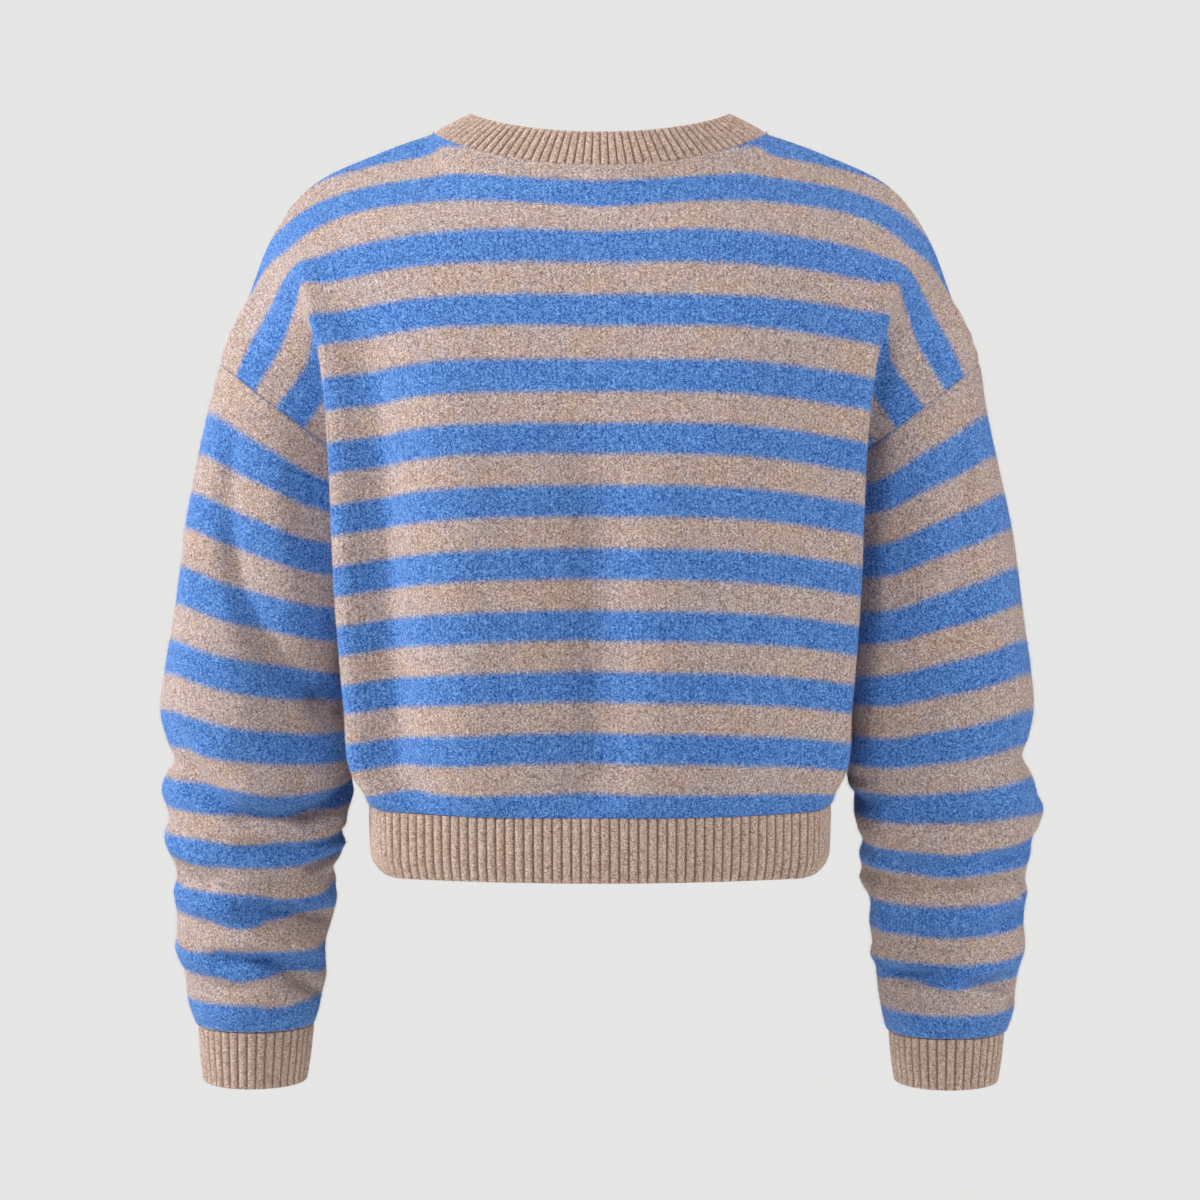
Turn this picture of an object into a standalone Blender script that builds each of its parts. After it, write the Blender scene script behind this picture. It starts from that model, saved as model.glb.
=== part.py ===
"""Cropped knit sweater in its worn shape, with no wearer inside.

Nine cloth pieces, each a closed wall: back and front panels, two sleeves, a ribbed neckband,
a hem rib in two stretches and two ribbed cuffs.  The origin lies midway between the two points
where the neckband meets the shoulder seams.  +Z is up, -Y is the front, +X the wearer's left.

A panel is described by its knitted courses: a course is named by how far it lies below the
shoulder's neck point, in the flat cloth.  Sizes are in millimetres and MM turns them to metres.
"""

import math
from bisect import bisect_right
from collections import namedtuple

import bmesh
import bpy
from mathutils import Matrix, Vector

MM = 0.001
COLLECTION = "cropped_knit_sweater"

# Cloth
BODY_WALL = 3.0
RIB_WALL = 3.4
SEAM_GAP = 0.3
HALF_GAP = SEAM_GAP / 2

# Body: places across a half panel, as shares of its width from middle to edge
NECK_SHARE = 0.337
LIP_SHARE = 0.72
FOLD_SHARE = 0.86
BACK_STEPS = (0.0, 0.3, 0.55, 0.76, 0.9, 1.0)

# Body: courses
SHOULDER_TIP_COURSE = 50.0
UNDERARM_COURSE = 190.0
HEM_COURSE = 461.0

# Armhole ring: centre, half length along its slope, half depth, slope and its seam's place
ARMHOLE_CENTRE = Vector((214.0, -18.0, -190.8))
ARMHOLE_HALF_LENGTH = 57.7
ARMHOLE_HALF_DEPTH = 42.0
ARMHOLE_SLOPE = math.radians(37.0)
SEAM_TURN = math.radians(-20.0)
SIDE_Y = -18.0

# Neck ring under the band, and the band's own top ring
Ring = namedtuple("Ring", "half_width back_y front_y side_y back_z front_z side_z power")
NECK_SEAM = Ring(113.0, 58.0, -93.0, 0.0, -28.0, -88.0, 0.0, 2.0)
NECK_TOP = Ring(87.0, 50.0, -88.0, 4.0, -4.5, -66.0, 13.0, 2.1)

# Course at the middle of the neck seam, and how it rises towards the shoulder, by panel side
NeckDrop = namedtuple("NeckDrop", "course power")
NECK_DROP = {1: NeckDrop(28.0, 0.6), -1: NeckDrop(92.0, 0.85)}

# Mesh counts
NECK_COLUMNS = 7
SHOULDER_COLUMNS = 11
UPPER_ROWS = 9
LOWER_ROWS = 7
SLEEVE_COLUMNS = 24
UPPER_SLEEVE_RINGS = 7
LOWER_SLEEVE_RINGS = 20
ELBOW_STRIPE = 9.0
CUFF_STRIPE = 20.0
NECK_BACK_RIBS = 48
NECK_FRONT_RIBS = 60
HEM_RIBS = 70
CUFF_RIBS = 38
TOP_FIT_REACH = 90.0
TOP_FIT_SPREAD = 0.2
TOP_FIT_WEIGHTS = ((-1.0, 1), (-0.5, 2), (0.0, 3), (0.5, 2), (1.0, 1))
CURVE_SAMPLES = 400
TURN_STEP = 0.01
SHARE_STEP = 0.01

# One knitted course of a panel's left half.  It starts at the middle, bows round to the lip
# over the armpit, drops into the fold beside the arm and ends at the armhole or side seam.
Course = namedtuple(
    "Course", "course mid_y mid_z lip_x lip_y lip_z bow sag rise spread fold_x fold_y fold_z"
)
BACK_COURSES = (
    Course(20, 56, -19, 222, -10, -58, 0.9, 5, 4, 0.26, 241, -20, -104),
    Course(61, 67, -57, 210, 26, -88, 1.4, 6, 5, 0.26, 233, 0, -114),
    Course(81, 74, -74, 202, 38, -95, 2.3, 3, 3, 0.25, 221, 20, -134),
    Course(101, 79, -95, 197, 46, -110, 2.6, 3, 1, 0.23, 208, 27, -148),
    Course(142, 88, -138, 185, 53, -149, 3.0, 3, 1, 0.18, 180, 26, -171),
    Course(182, 94, -181, 179, 56, -192, 3.2, 3, 0, 0.15, 170, 24, -204),
    Course(205, 96, -204, 177, 57, -216, 3.2, 3, 0, 0.14, 168, 20, -226),
    Course(303, 95, -304, 172, 56, -315, 3.2, 3, 0, 0.12, 169, 18, -316),
    Course(384, 92, -385, 166, 52, -393, 3.2, 3, 0, 0.12, 165, 17, -391),
    Course(425, 90, -426, 160, 50, -432, 3.0, 3, 0, 0.12, 160, 16, -431),
    Course(461, 87, -461.5, 141, 50, -459, 2.6, 3, 0, 0.1, 153, 18, -457),
)
FRONT_COURSES = (
    Course(20, -16, -5, 217, -30, -60, 1.5, 3, 0, 0.26, 239, -36, -104),
    Course(61, -63, -41, 207, -48, -86, 1.5, 3, 0, 0.26, 232, -48, -124),
    Course(81, -82, -68, 200, -60, -99, 1.8, 3, 0, 0.25, 220, -56, -143),
    Course(101, -98, -96, 194, -68, -117, 2.3, 3, 0, 0.23, 207, -62, -158),
    Course(142, -114, -140, 184, -79, -156, 2.6, 3, 0, 0.18, 184, -64, -184),
    Course(182, -124, -181, 178, -87, -196, 2.8, 3, 0, 0.15, 171, -62, -211),
    Course(205, -127, -204, 176, -90, -219, 3.0, 3, 0, 0.14, 168, -57, -228),
    Course(303, -126, -304, 170, -88, -315, 3.0, 3, 0, 0.12, 168, -52, -316),
    Course(384, -123, -385, 165, -85, -393, 3.0, 3, 0, 0.12, 164, -51, -391),
    Course(425, -121, -426, 158, -83, -432, 2.8, 3, 0, 0.12, 159, -51, -431),
    Course(461, -118, -461.5, 141, -84, -459, 2.6, 3, 0, 0.1, 153, -54, -457),
)

# Shoulder seam, from the neck point to the armhole
Shoulder = namedtuple("Shoulder", "share x y z course")
SHOULDER_SEAM = (
    Shoulder(0.337, 113, 0, 0, 0),
    Shoulder(0.47, 152, -2, -14, 8),
    Shoulder(0.60, 195, -6, -34, 17),
    Shoulder(0.74, 223, -13, -67, 28),
    Shoulder(0.88, 242, -22, -113, 40),
)

# Side seam, from the underarm to the hem
Side = namedtuple("Side", "course x z")
SIDE_SEAM = (
    Side(190, 168.0, -225.5),
    Side(205, 167.0, -236),
    Side(240, 168.0, -262),
    Side(303, 169.5, -317),
    Side(360, 168.5, -370),
    Side(384, 165.5, -391),
    Side(425, 160.0, -431),
    Side(461, 156.5, -456.5),
)

# Sleeve rings: half_width runs across in the slope's direction, pitch tips a ring forward
SleeveRing = namedtuple("SleeveRing", "stripe x y z half_width half_depth slope pitch")
SLEEVE_RINGS = (
    SleeveRing(0, 214.0, -18, -190.8, 57.7, 42, 37, 0),
    SleeveRing(1, 219.5, -18, -216.5, 55.5, 44, 27, 1),
    SleeveRing(2, 224.5, -18, -239.5, 55.0, 46, 21, 2),
    SleeveRing(4, 231.0, -19, -285.0, 57.0, 49, 15, 3),
    SleeveRing(6, 234.0, -21, -333.0, 60.5, 51, 11, 4),
    SleeveRing(8, 236.0, -25, -377.0, 63.5, 53, 8, 5),
    SleeveRing(10, 233.5, -31, -421.0, 64.0, 53, 4, 7),
    SleeveRing(12, 233.5, -38, -457.0, 63.5, 52, 0, 8),
    SleeveRing(14, 235.5, -44, -492.0, 58.0, 50, 1, 9),
    SleeveRing(16, 236.5, -49, -530.0, 54.0, 47, 1, 9),
    SleeveRing(18, 237.5, -54, -571.0, 49.5, 44, 1, 8),
    SleeveRing(19, 237.0, -56, -590.0, 46.0, 42, 0, 7),
    SleeveRing(20, 235.6, -58, -610.5, 39.5, 37, 0, 6),
)
CUFF_TOP = SleeveRing(0, 235.8, -58, -611.0, 38.8, 36.2, 0, 6)
CUFF_BOTTOM = SleeveRing(1, 236.6, -62, -650.0, 35.4, 33.4, 0, 6)

# Largest folds of a sleeve: a ridge (height above 0) or hollow on one side of the arm
Fold = namedtuple("Fold", "stripe turn height length width lean")
LEFT_FOLDS = (
    Fold(10.1, 0, -6.0, 70, 0.55, 0.0),
    Fold(11.4, 10, 4.5, 80, 0.8, 0.0),
    Fold(14.6, 0, -4.5, 60, 0.6, 0.0),
    Fold(16.2, 5, 3.5, 60, 0.7, 0.0),
    Fold(11.2, 180, 5.0, 80, 0.8, 0.0),
    Fold(13.3, 180, -4.0, 60, 0.6, 0.0),
    Fold(15.9, 175, 3.5, 60, 0.7, 0.0),
    Fold(17.0, 180, -4.0, 50, 0.5, 0.0),
    Fold(12.3, 120, -7.0, 50, 0.6, -1.0),
    Fold(14.4, 110, 5.0, 60, 0.7, 0.5),
    Fold(16.6, 90, -4.5, 60, 0.6, 0.0),
    Fold(12.2, 250, -5.0, 60, 0.7, 0.6),
    Fold(14.6, 270, 4.5, 70, 0.7, 0.0),
    Fold(17.2, 280, -4.0, 60, 0.6, 0.0),
)
RIGHT_FOLDS = (
    Fold(10.0, 0, -5.5, 70, 0.55, 0.0),
    Fold(12.0, 5, 5.0, 80, 0.9, 0.0),
    Fold(15.0, 0, -4.0, 60, 0.6, 0.0),
    Fold(15.9, 10, 3.5, 50, 0.6, 0.0),
    Fold(11.3, 180, 5.0, 80, 0.8, 0.0),
    Fold(13.6, 180, -4.5, 60, 0.6, 0.0),
    Fold(16.3, 180, 2.5, 60, 0.7, 0.0),
    Fold(18.0, 10, -3.0, 50, 0.5, 0.0),
    Fold(12.6, 130, -6.5, 50, 0.6, -0.8),
    Fold(14.8, 100, 4.5, 60, 0.7, 0.4),
    Fold(17.3, 95, -4.5, 60, 0.6, 0.0),
    Fold(12.4, 255, -5.0, 60, 0.7, 0.6),
    Fold(15.0, 265, 4.5, 70, 0.7, 0.0),
    Fold(17.5, 275, -4.0, 60, 0.6, 0.0),
)

# Hem rib: its section at the lower edge is the body's, drawn in by this much
HEM_BOTTOM_Z = -502.5
HEM_DRAW_IN = 1.5

# Ribs: a narrow groove and a broad ridge, repeated
RIB_PROFILE = ((0.0, 0.0), (0.22, 1.0), (0.78, 1.0))
RIB_HEIGHT = 0.9
NECK_EDGE_ROUND = 0.8
NECK_ROUND_START = 0.88

# Finishes: colour, roughness
BLUE_TAUPE_KNIT = ((0.24, 0.30, 0.50, 1.0), 0.9)
TAUPE_RIB = ((0.42, 0.29, 0.23, 1.0), 0.9)


def clear_scene():
    """Remove every object that the file opened with."""
    for item in list(bpy.data.objects):
        bpy.data.objects.remove(item, do_unlink=True)


def ease(share):
    """Smooth step from 0 to 1."""
    share = min(max(share, 0.0), 1.0)
    return share * share * (3 - 2 * share)


def spline(keys, values, key):
    """Value at key on the smooth curve through the values, numbers or vectors alike."""
    last = len(keys) - 1
    span = min(max(bisect_right(keys, key) - 1, 0), last - 1)

    def slope(index):
        below, above = max(index - 1, 0), min(index + 1, last)
        if below == index or above == index:
            return (values[above] - values[below]) / (keys[above] - keys[below])
        before = (values[index] - values[below]) / (keys[index] - keys[below])
        after = (values[above] - values[index]) / (keys[above] - keys[index])
        share = (keys[index] - keys[below]) / (keys[above] - keys[below])
        return before * (1 - share) + after * share

    width = keys[span + 1] - keys[span]
    at = (key - keys[span]) / width
    if at < 0:
        return values[span] + slope(span) * (at * width)
    rise = values[span + 1] - values[span]
    start, end = slope(span) * width, slope(span + 1) * width
    bend = start * (at * (1 - at) ** 2) - end * (at * at * (1 - at))
    return values[span] + rise * (at * at * (3 - 2 * at)) + bend


def power(value, exponent):
    """Signed power, for rings squarer than an ellipse."""
    return math.copysign(abs(value) ** exponent, value)


def table_spline(rows, key_name, value_names, key):
    """Smooth reading of a table's named columns at key."""
    keys = [getattr(row, key_name) for row in rows]
    return [spline(keys, [getattr(row, name) for row in rows], key) for name in value_names]


# ---------------------------------------------------------------- body panels


class Panel:
    """Left half of a front or back panel, as a surface over share and course."""

    def __init__(self, courses, side):
        self.side = side
        self.keys = [row.course for row in courses]
        self.shares = [LIP_SHARE * step for step in BACK_STEPS] + [FOLD_SHARE, 1.0]
        self.controls = [self.control_points(row) for row in courses]
        self.misses = {}

    def control_points(self, row):
        """Points of one course, from the middle of the panel to its edge."""
        points = []
        for step in BACK_STEPS:
            reach = step + row.spread * step * (1 - step)
            x = row.lip_x * reach
            y = row.mid_y + (row.lip_y - row.mid_y) * reach**row.bow
            z = row.mid_z + (row.lip_z - row.mid_z) * reach**row.sag
            z += row.rise * 4 * reach * (1 - reach)
            points.append(Vector((x, y, z)))
        points.append(Vector((row.fold_x, row.fold_y, row.fold_z)))
        points.append(self.edge(row.course))
        return points

    def edge(self, course):
        """Point of the armhole or side seam at a course."""
        if course > UNDERARM_COURSE:
            x, z = table_spline(SIDE_SEAM, "course", ("x", "z"), course)
            return Vector((x, SIDE_Y, z))
        seam = 1 - math.cos(SEAM_TURN)
        start = -self.side * seam
        down = (course - SHOULDER_TIP_COURSE) / (UNDERARM_COURSE - SHOULDER_TIP_COURSE)
        fall = start + (2 - start) * down
        turn = math.copysign(math.acos(max(1 - abs(fall), -1.0)), fall)
        return armhole_point(self.side * turn)

    def top_course(self, share):
        """Course at the panel's top edge, along the neck and then the shoulder seam."""
        if share >= NECK_SHARE:
            rows = SHOULDER_SEAM + (Shoulder(1.0, 0, 0, 0, SHOULDER_TIP_COURSE),)
            return table_spline(rows, "share", ("course",), share)[0]
        drop = NECK_DROP[self.side]
        return drop.course * abs(math.sin(self.neck_turn(share))) ** drop.power

    def neck_turn(self, share):
        """Turn round the neck ring, from the shoulder to the middle of the panel."""
        return self.side * math.acos((share / NECK_SHARE) ** (NECK_SEAM.power / 2))

    def top_edge(self, share):
        """Point of the neck or shoulder seam."""
        if share < NECK_SHARE:
            return neck_point(NECK_SEAM, self.neck_turn(share))
        tip = armhole_point(SEAM_TURN)
        rows = SHOULDER_SEAM + (Shoulder(1.0, tip.x, tip.y, tip.z, SHOULDER_TIP_COURSE),)
        return Vector(table_spline(rows, "share", ("x", "y", "z"), share))

    def raw_point(self, share, course):
        """Surface through the course table, before its edges are fitted to the seams."""
        across = [spline(self.shares, points, share) for points in self.controls]
        return spline(self.keys, across, course)

    def edge_fitted(self, share, course):
        """Surface fitted to the armhole and side seam."""
        miss = self.edge(course) - self.raw_point(1.0, course)
        hold = ease((share - LIP_SHARE) / (1 - LIP_SHARE))
        return self.raw_point(share, course) + miss * hold

    def top_miss(self, share):
        """How far the top edge lies from the surface there."""
        share = min(max(abs(share), 0.0), 1.0)
        if share not in self.misses:
            fitted = self.edge_fitted(share, self.top_course(share))
            self.misses[share] = self.top_edge(share) - fitted
        return self.misses[share]

    def point(self, share, course):
        """Surface fitted to all its seams.  Away from the top edge, its corner is rounded off."""
        depth = (course - self.top_course(share)) / TOP_FIT_REACH
        if depth >= 1:
            return self.edge_fitted(share, course)
        spread = TOP_FIT_SPREAD * max(depth, 0.0) * (1 - share)
        miss = Vector((0, 0, 0))
        for step, weight in TOP_FIT_WEIGHTS:
            miss += self.top_miss(share + step * spread) * (weight / 9)
        return self.edge_fitted(share, course) + miss * (1 - depth) ** 3


def armhole_point(turn):
    """Point of the armhole ring: 0 is its outer tip, a quarter turn its back."""
    along = Vector((math.cos(ARMHOLE_SLOPE), 0, math.sin(ARMHOLE_SLOPE)))
    offset = along * (ARMHOLE_HALF_LENGTH * math.cos(turn))
    offset.y = ARMHOLE_HALF_DEPTH * math.sin(turn)
    return ARMHOLE_CENTRE + offset


def neck_point(ring, turn):
    """Point of a neck ring: 0 is the left shoulder, a quarter turn the middle back."""
    across = power(math.cos(turn), 2 / ring.power)
    deep = abs(power(math.sin(turn), 2 / ring.power))
    is_back = math.sin(turn) > 0
    y_end, z_end = (ring.back_y, ring.back_z) if is_back else (ring.front_y, ring.front_z)
    y = ring.side_y + (y_end - ring.side_y) * deep
    z = ring.side_z + (z_end - ring.side_z) * deep**1.5
    return Vector((ring.half_width * across, y, z))


def neck_frame(turn):
    """Point of the neck seam, with the band's upward direction and outward normal there."""
    here = neck_point(NECK_SEAM, turn)
    along = neck_point(NECK_SEAM, turn + TURN_STEP) - neck_point(NECK_SEAM, turn - TURN_STEP)
    up = (neck_point(NECK_TOP, turn) - here).normalized()
    return here, up, along.cross(up).normalized()


def neck_chord_frame(turn):
    """The same on the straight chords between the panels' columns, so that the edges match."""
    step = math.pi / 2 / NECK_COLUMNS
    count = math.floor(turn / step)
    share = turn / step - count
    ends = zip(neck_frame(count * step), neck_frame((count + 1) * step))
    return [start.lerp(end, share) for start, end in ends]


def armhole_axis(mirror):
    """Direction from the body into a sleeve."""
    return Vector((mirror * math.sin(ARMHOLE_SLOPE), 0, -math.cos(ARMHOLE_SLOPE)))


def mirrored(point, mirror):
    """The point on the wearer's left for 1, on the right for -1."""
    return Vector((point.x * mirror, point.y, point.z))


def grid_normals(grid, wrap):
    """Outward normals of a grid of points, whose rows run to the right seen from outside."""
    last_row, count = len(grid) - 1, len(grid[0])
    normals = []
    for row, points in enumerate(grid):
        below, above = grid[min(row + 1, last_row)], grid[max(row - 1, 0)]
        line = []
        for column in range(count):
            if wrap:
                before, after = points[column - 1], points[(column + 1) % count]
            else:
                before, after = points[max(column - 1, 0)], points[min(column + 1, count - 1)]
            line.append((after - before).cross(above[column] - below[column]).normalized())
        normals.append(line)
    return normals


def panel_shares():
    """Places of a half panel's columns: even turns round the neck, then even steps."""
    neck = []
    for step in range(NECK_COLUMNS):
        turn = math.pi / 2 * (1 - step / NECK_COLUMNS)
        neck.append(NECK_SHARE * math.cos(turn) ** (2 / NECK_SEAM.power))
    step = (1 - NECK_SHARE) / SHOULDER_COLUMNS
    return neck + [NECK_SHARE + step * count for count in range(SHOULDER_COLUMNS + 1)]


def column_courses(top):
    """Courses of a column's points, from its top edge to the hem."""
    upper = [top + (UNDERARM_COURSE - top) * row / UPPER_ROWS for row in range(UPPER_ROWS)]
    reach = HEM_COURSE - UNDERARM_COURSE
    return upper + [UNDERARM_COURSE + reach * row / LOWER_ROWS for row in range(LOWER_ROWS + 1)]


def panel_grids(panel):
    """Outer and inner points of a body panel, from its top edge down."""
    shares = panel_shares()
    places = [(-1, share) for share in reversed(shares[1:])] + [(1, share) for share in shares]
    if panel.side > 0:
        places.reverse()
    rows = len(column_courses(0.0))
    outer = [[] for _ in range(rows)]
    for mirror, share in places:
        for row, course in enumerate(column_courses(panel.top_course(share))):
            point = panel.point(share, course)
            point.y += panel.side * HALF_GAP
            outer[row].append(mirrored(point, mirror))
    normals = grid_normals(outer, wrap=False)
    inner = []
    for row, points in enumerate(outer):
        line = []
        for column, (mirror, share) in enumerate(places):
            inward = -normals[row][column]
            inward = seam_inward(panel, inward, mirror, share, row, rows)
            line.append(points[column] + inward * BODY_WALL)
        inner.append(line)
    return outer, inner


def seam_inward(panel, inward, mirror, share, row, rows):
    """Inward direction of the wall, kept on the panel's own side of each seam."""
    is_top, is_bottom, is_edge = row == 0, row == rows - 1, share == 1.0
    if is_top and share <= NECK_SHARE:
        normal = neck_frame(panel.neck_turn(share))[2]
        return -mirrored(normal, mirror)
    if is_edge and row <= UPPER_ROWS:
        into_sleeve = armhole_axis(mirror)
        inward = inward - into_sleeve * max(inward.dot(into_sleeve), 0.0)
    if is_top or is_edge:
        inward.y = panel.side * max(inward.y * panel.side, 0.0)
    if is_bottom:
        inward.z = 0.0
    return inward.normalized()


# ---------------------------------------------------------------- sleeves


def ring_frame(ring):
    """Centre, across and depth directions of a sleeve ring on the wearer's left."""
    slope, pitch = math.radians(ring.slope), math.radians(ring.pitch)
    across = Vector((math.cos(slope), 0, math.sin(slope)))
    deep = Vector((0, 1, 0))
    deep.rotate(Matrix.Rotation(-pitch, 3, "X"))
    deep = (deep - across * deep.dot(across)).normalized()
    return Vector((ring.x, ring.y, ring.z)), across, deep


def ring_point(ring, turn, grow=0.0):
    """Point of a sleeve ring: 0 is the outer side of the arm, a quarter turn its back."""
    centre, across, deep = ring_frame(ring)
    offset = across * ((ring.half_width + grow) * math.cos(turn))
    return centre + offset + deep * ((ring.half_depth + grow) * math.sin(turn))


def sleeve_ring(stripe):
    """Ring of the smooth sleeve at a place counted in stripes from the armhole."""
    return SleeveRing(stripe, *table_spline(SLEEVE_RINGS, "stripe", SleeveRing._fields[1:], stripe))


def fold_height(folds, stripe, turn, radius):
    """Sum of the sleeve's folds at a place."""
    total = 0.0
    for fold in folds:
        apart = math.remainder(turn - math.radians(fold.turn), 2 * math.pi)
        along = apart * radius / (fold.length / 2)
        if abs(along) >= 1:
            continue
        across = (stripe - fold.stripe - fold.lean * along) / fold.width
        total += fold.height * math.cos(math.pi / 2 * along) ** 2 * math.exp(-across * across)
    return total


def sleeve_stripes():
    """Places of the sleeve's rings, closer together below the elbow."""
    upper = [ELBOW_STRIPE * ring / UPPER_SLEEVE_RINGS for ring in range(UPPER_SLEEVE_RINGS)]
    reach = CUFF_STRIPE - ELBOW_STRIPE
    lower = [ELBOW_STRIPE + reach * ring / LOWER_SLEEVE_RINGS for ring in range(LOWER_SLEEVE_RINGS + 1)]
    return upper + lower


def sleeve_grids(folds, mirror):
    """Outer and inner points of a sleeve, from the armhole down."""
    outer, inner = [], []
    start = armhole_axis(1) * SEAM_GAP
    for stripe in sleeve_stripes():
        ring = sleeve_ring(stripe)
        outer_row, inner_row = [], []
        for column in range(SLEEVE_COLUMNS):
            turn = -mirror * 2 * math.pi * column / SLEEVE_COLUMNS
            height = fold_height(folds, stripe, turn, ring.half_width)
            outer_row.append(mirrored(ring_point(ring, turn, height) + start, mirror))
            inner_row.append(mirrored(ring_point(ring, turn, height - BODY_WALL) + start, mirror))
        outer.append(outer_row)
        inner.append(inner_row)
    return outer, inner


# ---------------------------------------------------------------- ribs


def rib_places(count):
    """Places along a row of ribs, counted in ribs, with the height of the rib there."""
    places = [(rib + share, height) for rib in range(count) for share, height in RIB_PROFILE]
    return places + [(float(count), RIB_PROFILE[0][1])]


def even_places(curve, start, end, counts):
    """Parameters at which a curve has the given shares of its length."""
    steps = [start + (end - start) * step / CURVE_SAMPLES for step in range(CURVE_SAMPLES + 1)]
    points = [curve(step) for step in steps]
    lengths = [0.0]
    for before, after in zip(points, points[1:]):
        lengths.append(lengths[-1] + (after - before).length)
    return [spline(lengths, steps, lengths[-1] * share) for share in counts]


def neck_turns(ring, counted):
    """Turns round a neck ring for places counted in ribs, evenly spaced front and back."""
    back = [place / NECK_BACK_RIBS for place in counted if place <= NECK_BACK_RIBS]
    front = [
        (place - NECK_BACK_RIBS) / NECK_FRONT_RIBS for place in counted if place > NECK_BACK_RIBS
    ]

    def curve(turn):
        return neck_point(ring, turn)

    return even_places(curve, 0, math.pi, back) + even_places(curve, math.pi, 2 * math.pi, front)


def neck_grids():
    """Outer and inner points of the neckband, from its top edge down."""
    places = rib_places(NECK_BACK_RIBS + NECK_FRONT_RIBS)[:-1]
    counted = [place for place, _ in places]
    lower, upper = neck_turns(NECK_SEAM, counted), neck_turns(NECK_TOP, counted)
    outer, inner = [[], [], []], [[], []]
    for (_, height), low_turn, high_turn in zip(places, lower, upper):
        seam, up, normal = neck_chord_frame(low_turn)
        low = seam + up * SEAM_GAP
        high = neck_point(NECK_TOP, high_turn)
        raised = normal * (RIB_HEIGHT * height)
        edge = high - normal * NECK_EDGE_ROUND
        outer[0].append(edge)
        outer[1].append(low.lerp(high, NECK_ROUND_START) + raised)
        outer[2].append(low + raised)
        if height == RIB_PROFILE[0][1]:
            inner[0].append(high - normal * RIB_WALL)
            inner[1].append(low - normal * RIB_WALL)
    return outer, inner


def hem_grids(panel):
    """Outer and inner points of one stretch of the hem rib, from the body down."""
    places = rib_places(HEM_RIBS)

    def curve(share):
        return mirrored(panel.point(abs(share), HEM_COURSE), math.copysign(1, share))

    start = panel.side
    shares = even_places(curve, -start, start, [place / HEM_RIBS for place, _ in places])
    outer, inner = [[], []], [[], []]
    for (_, height), share in zip(places, shares):
        share = min(max(share, -1.0), 1.0)
        here = curve(share)
        along = curve(min(share + SHARE_STEP, 1.0)) - curve(max(share - SHARE_STEP, -1.0))
        normal = Vector((-along.y, along.x, 0)).normalized() * panel.side
        if abs(share) == 1.0:
            normal = Vector((math.copysign(1, share), 0, 0))
        here.y += panel.side * HALF_GAP
        high = here - Vector((0, 0, SEAM_GAP))
        low = Vector((here.x, here.y, HEM_BOTTOM_Z)) - normal * HEM_DRAW_IN
        raised = normal * (RIB_HEIGHT * height)
        outer[0].append(high + raised)
        outer[1].append(low + raised)
        if height == RIB_PROFILE[0][1]:
            inner[0].append(high - normal * RIB_WALL)
            inner[1].append(low - normal * RIB_WALL)
    return outer, inner


def cuff_grids(mirror):
    """Outer and inner points of a cuff, from the sleeve down."""
    outer, inner = [], []
    for ring in (CUFF_TOP, CUFF_BOTTOM):
        outer_row, inner_row = [], []
        for place, height in rib_places(CUFF_RIBS)[:-1]:
            turn = -mirror * 2 * math.pi * place / CUFF_RIBS
            raised = RIB_HEIGHT * height
            outer_row.append(mirrored(ring_point(ring, turn, raised), mirror))
            if height == RIB_PROFILE[0][1]:
                inner_row.append(mirrored(ring_point(ring, turn, -RIB_WALL), mirror))
        outer.append(outer_row)
        inner.append(inner_row)
    return outer, inner


# ---------------------------------------------------------------- meshes


def grid_faces(mesh, rows, wrap):
    """Quads over a grid of vertices."""
    columns = len(rows[0]) - (0 if wrap else 1)
    for above, below in zip(rows, rows[1:]):
        for column in range(columns):
            after = (column + 1) % len(above)
            mesh.faces.new((above[column], above[after], below[after], below[column]))


def rim_faces(mesh, outer, inner, wrap):
    """Faces between an outer and an inner edge, several outer points to each inner step."""
    steps = len(inner) - (0 if wrap else 1)
    ratio = (len(outer) - (0 if wrap else 1)) // steps
    for step in range(steps):
        rim = [outer[(step * ratio + point) % len(outer)] for point in range(ratio + 1)]
        mesh.faces.new(rim + [inner[(step + 1) % len(inner)], inner[step]])


def cloth_wall(name, outer, inner, wrap, finish):
    """Closed wall lofted between an outer and an inner grid of points."""
    mesh = bmesh.new()
    outer_rows = [[mesh.verts.new(point * MM) for point in row] for row in outer]
    inner_rows = [[mesh.verts.new(point * MM) for point in row] for row in inner]
    grid_faces(mesh, outer_rows, wrap)
    grid_faces(mesh, inner_rows, wrap)
    for end in (0, -1):
        rim_faces(mesh, outer_rows[end], inner_rows[end], wrap)
    if not wrap:
        for end in (0, -1):
            outer_edge = [row[end] for row in outer_rows]
            inner_edge = [row[end] for row in inner_rows]
            rim_faces(mesh, outer_edge, inner_edge, wrap=False)
    bmesh.ops.recalc_face_normals(mesh, faces=mesh.faces)
    data = bpy.data.meshes.new(name)
    mesh.to_mesh(data)
    mesh.free()
    data.materials.append(finish)
    piece = bpy.data.objects.new(name, data)
    garment_collection().objects.link(piece)
    return piece


def garment_collection():
    """The collection named for the garment."""
    found = bpy.data.collections.get(COLLECTION)
    if found is None:
        found = bpy.data.collections.new(COLLECTION)
        bpy.context.scene.collection.children.link(found)
    return found


def knit_finish(name, colour, roughness):
    """A plain principled material."""
    material = bpy.data.materials.new(name)
    material.use_nodes = True
    shader = material.node_tree.nodes["Principled BSDF"]
    shader.inputs["Base Color"].default_value = colour
    shader.inputs["Roughness"].default_value = roughness
    shader.inputs["Metallic"].default_value = 0.0
    return material


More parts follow.
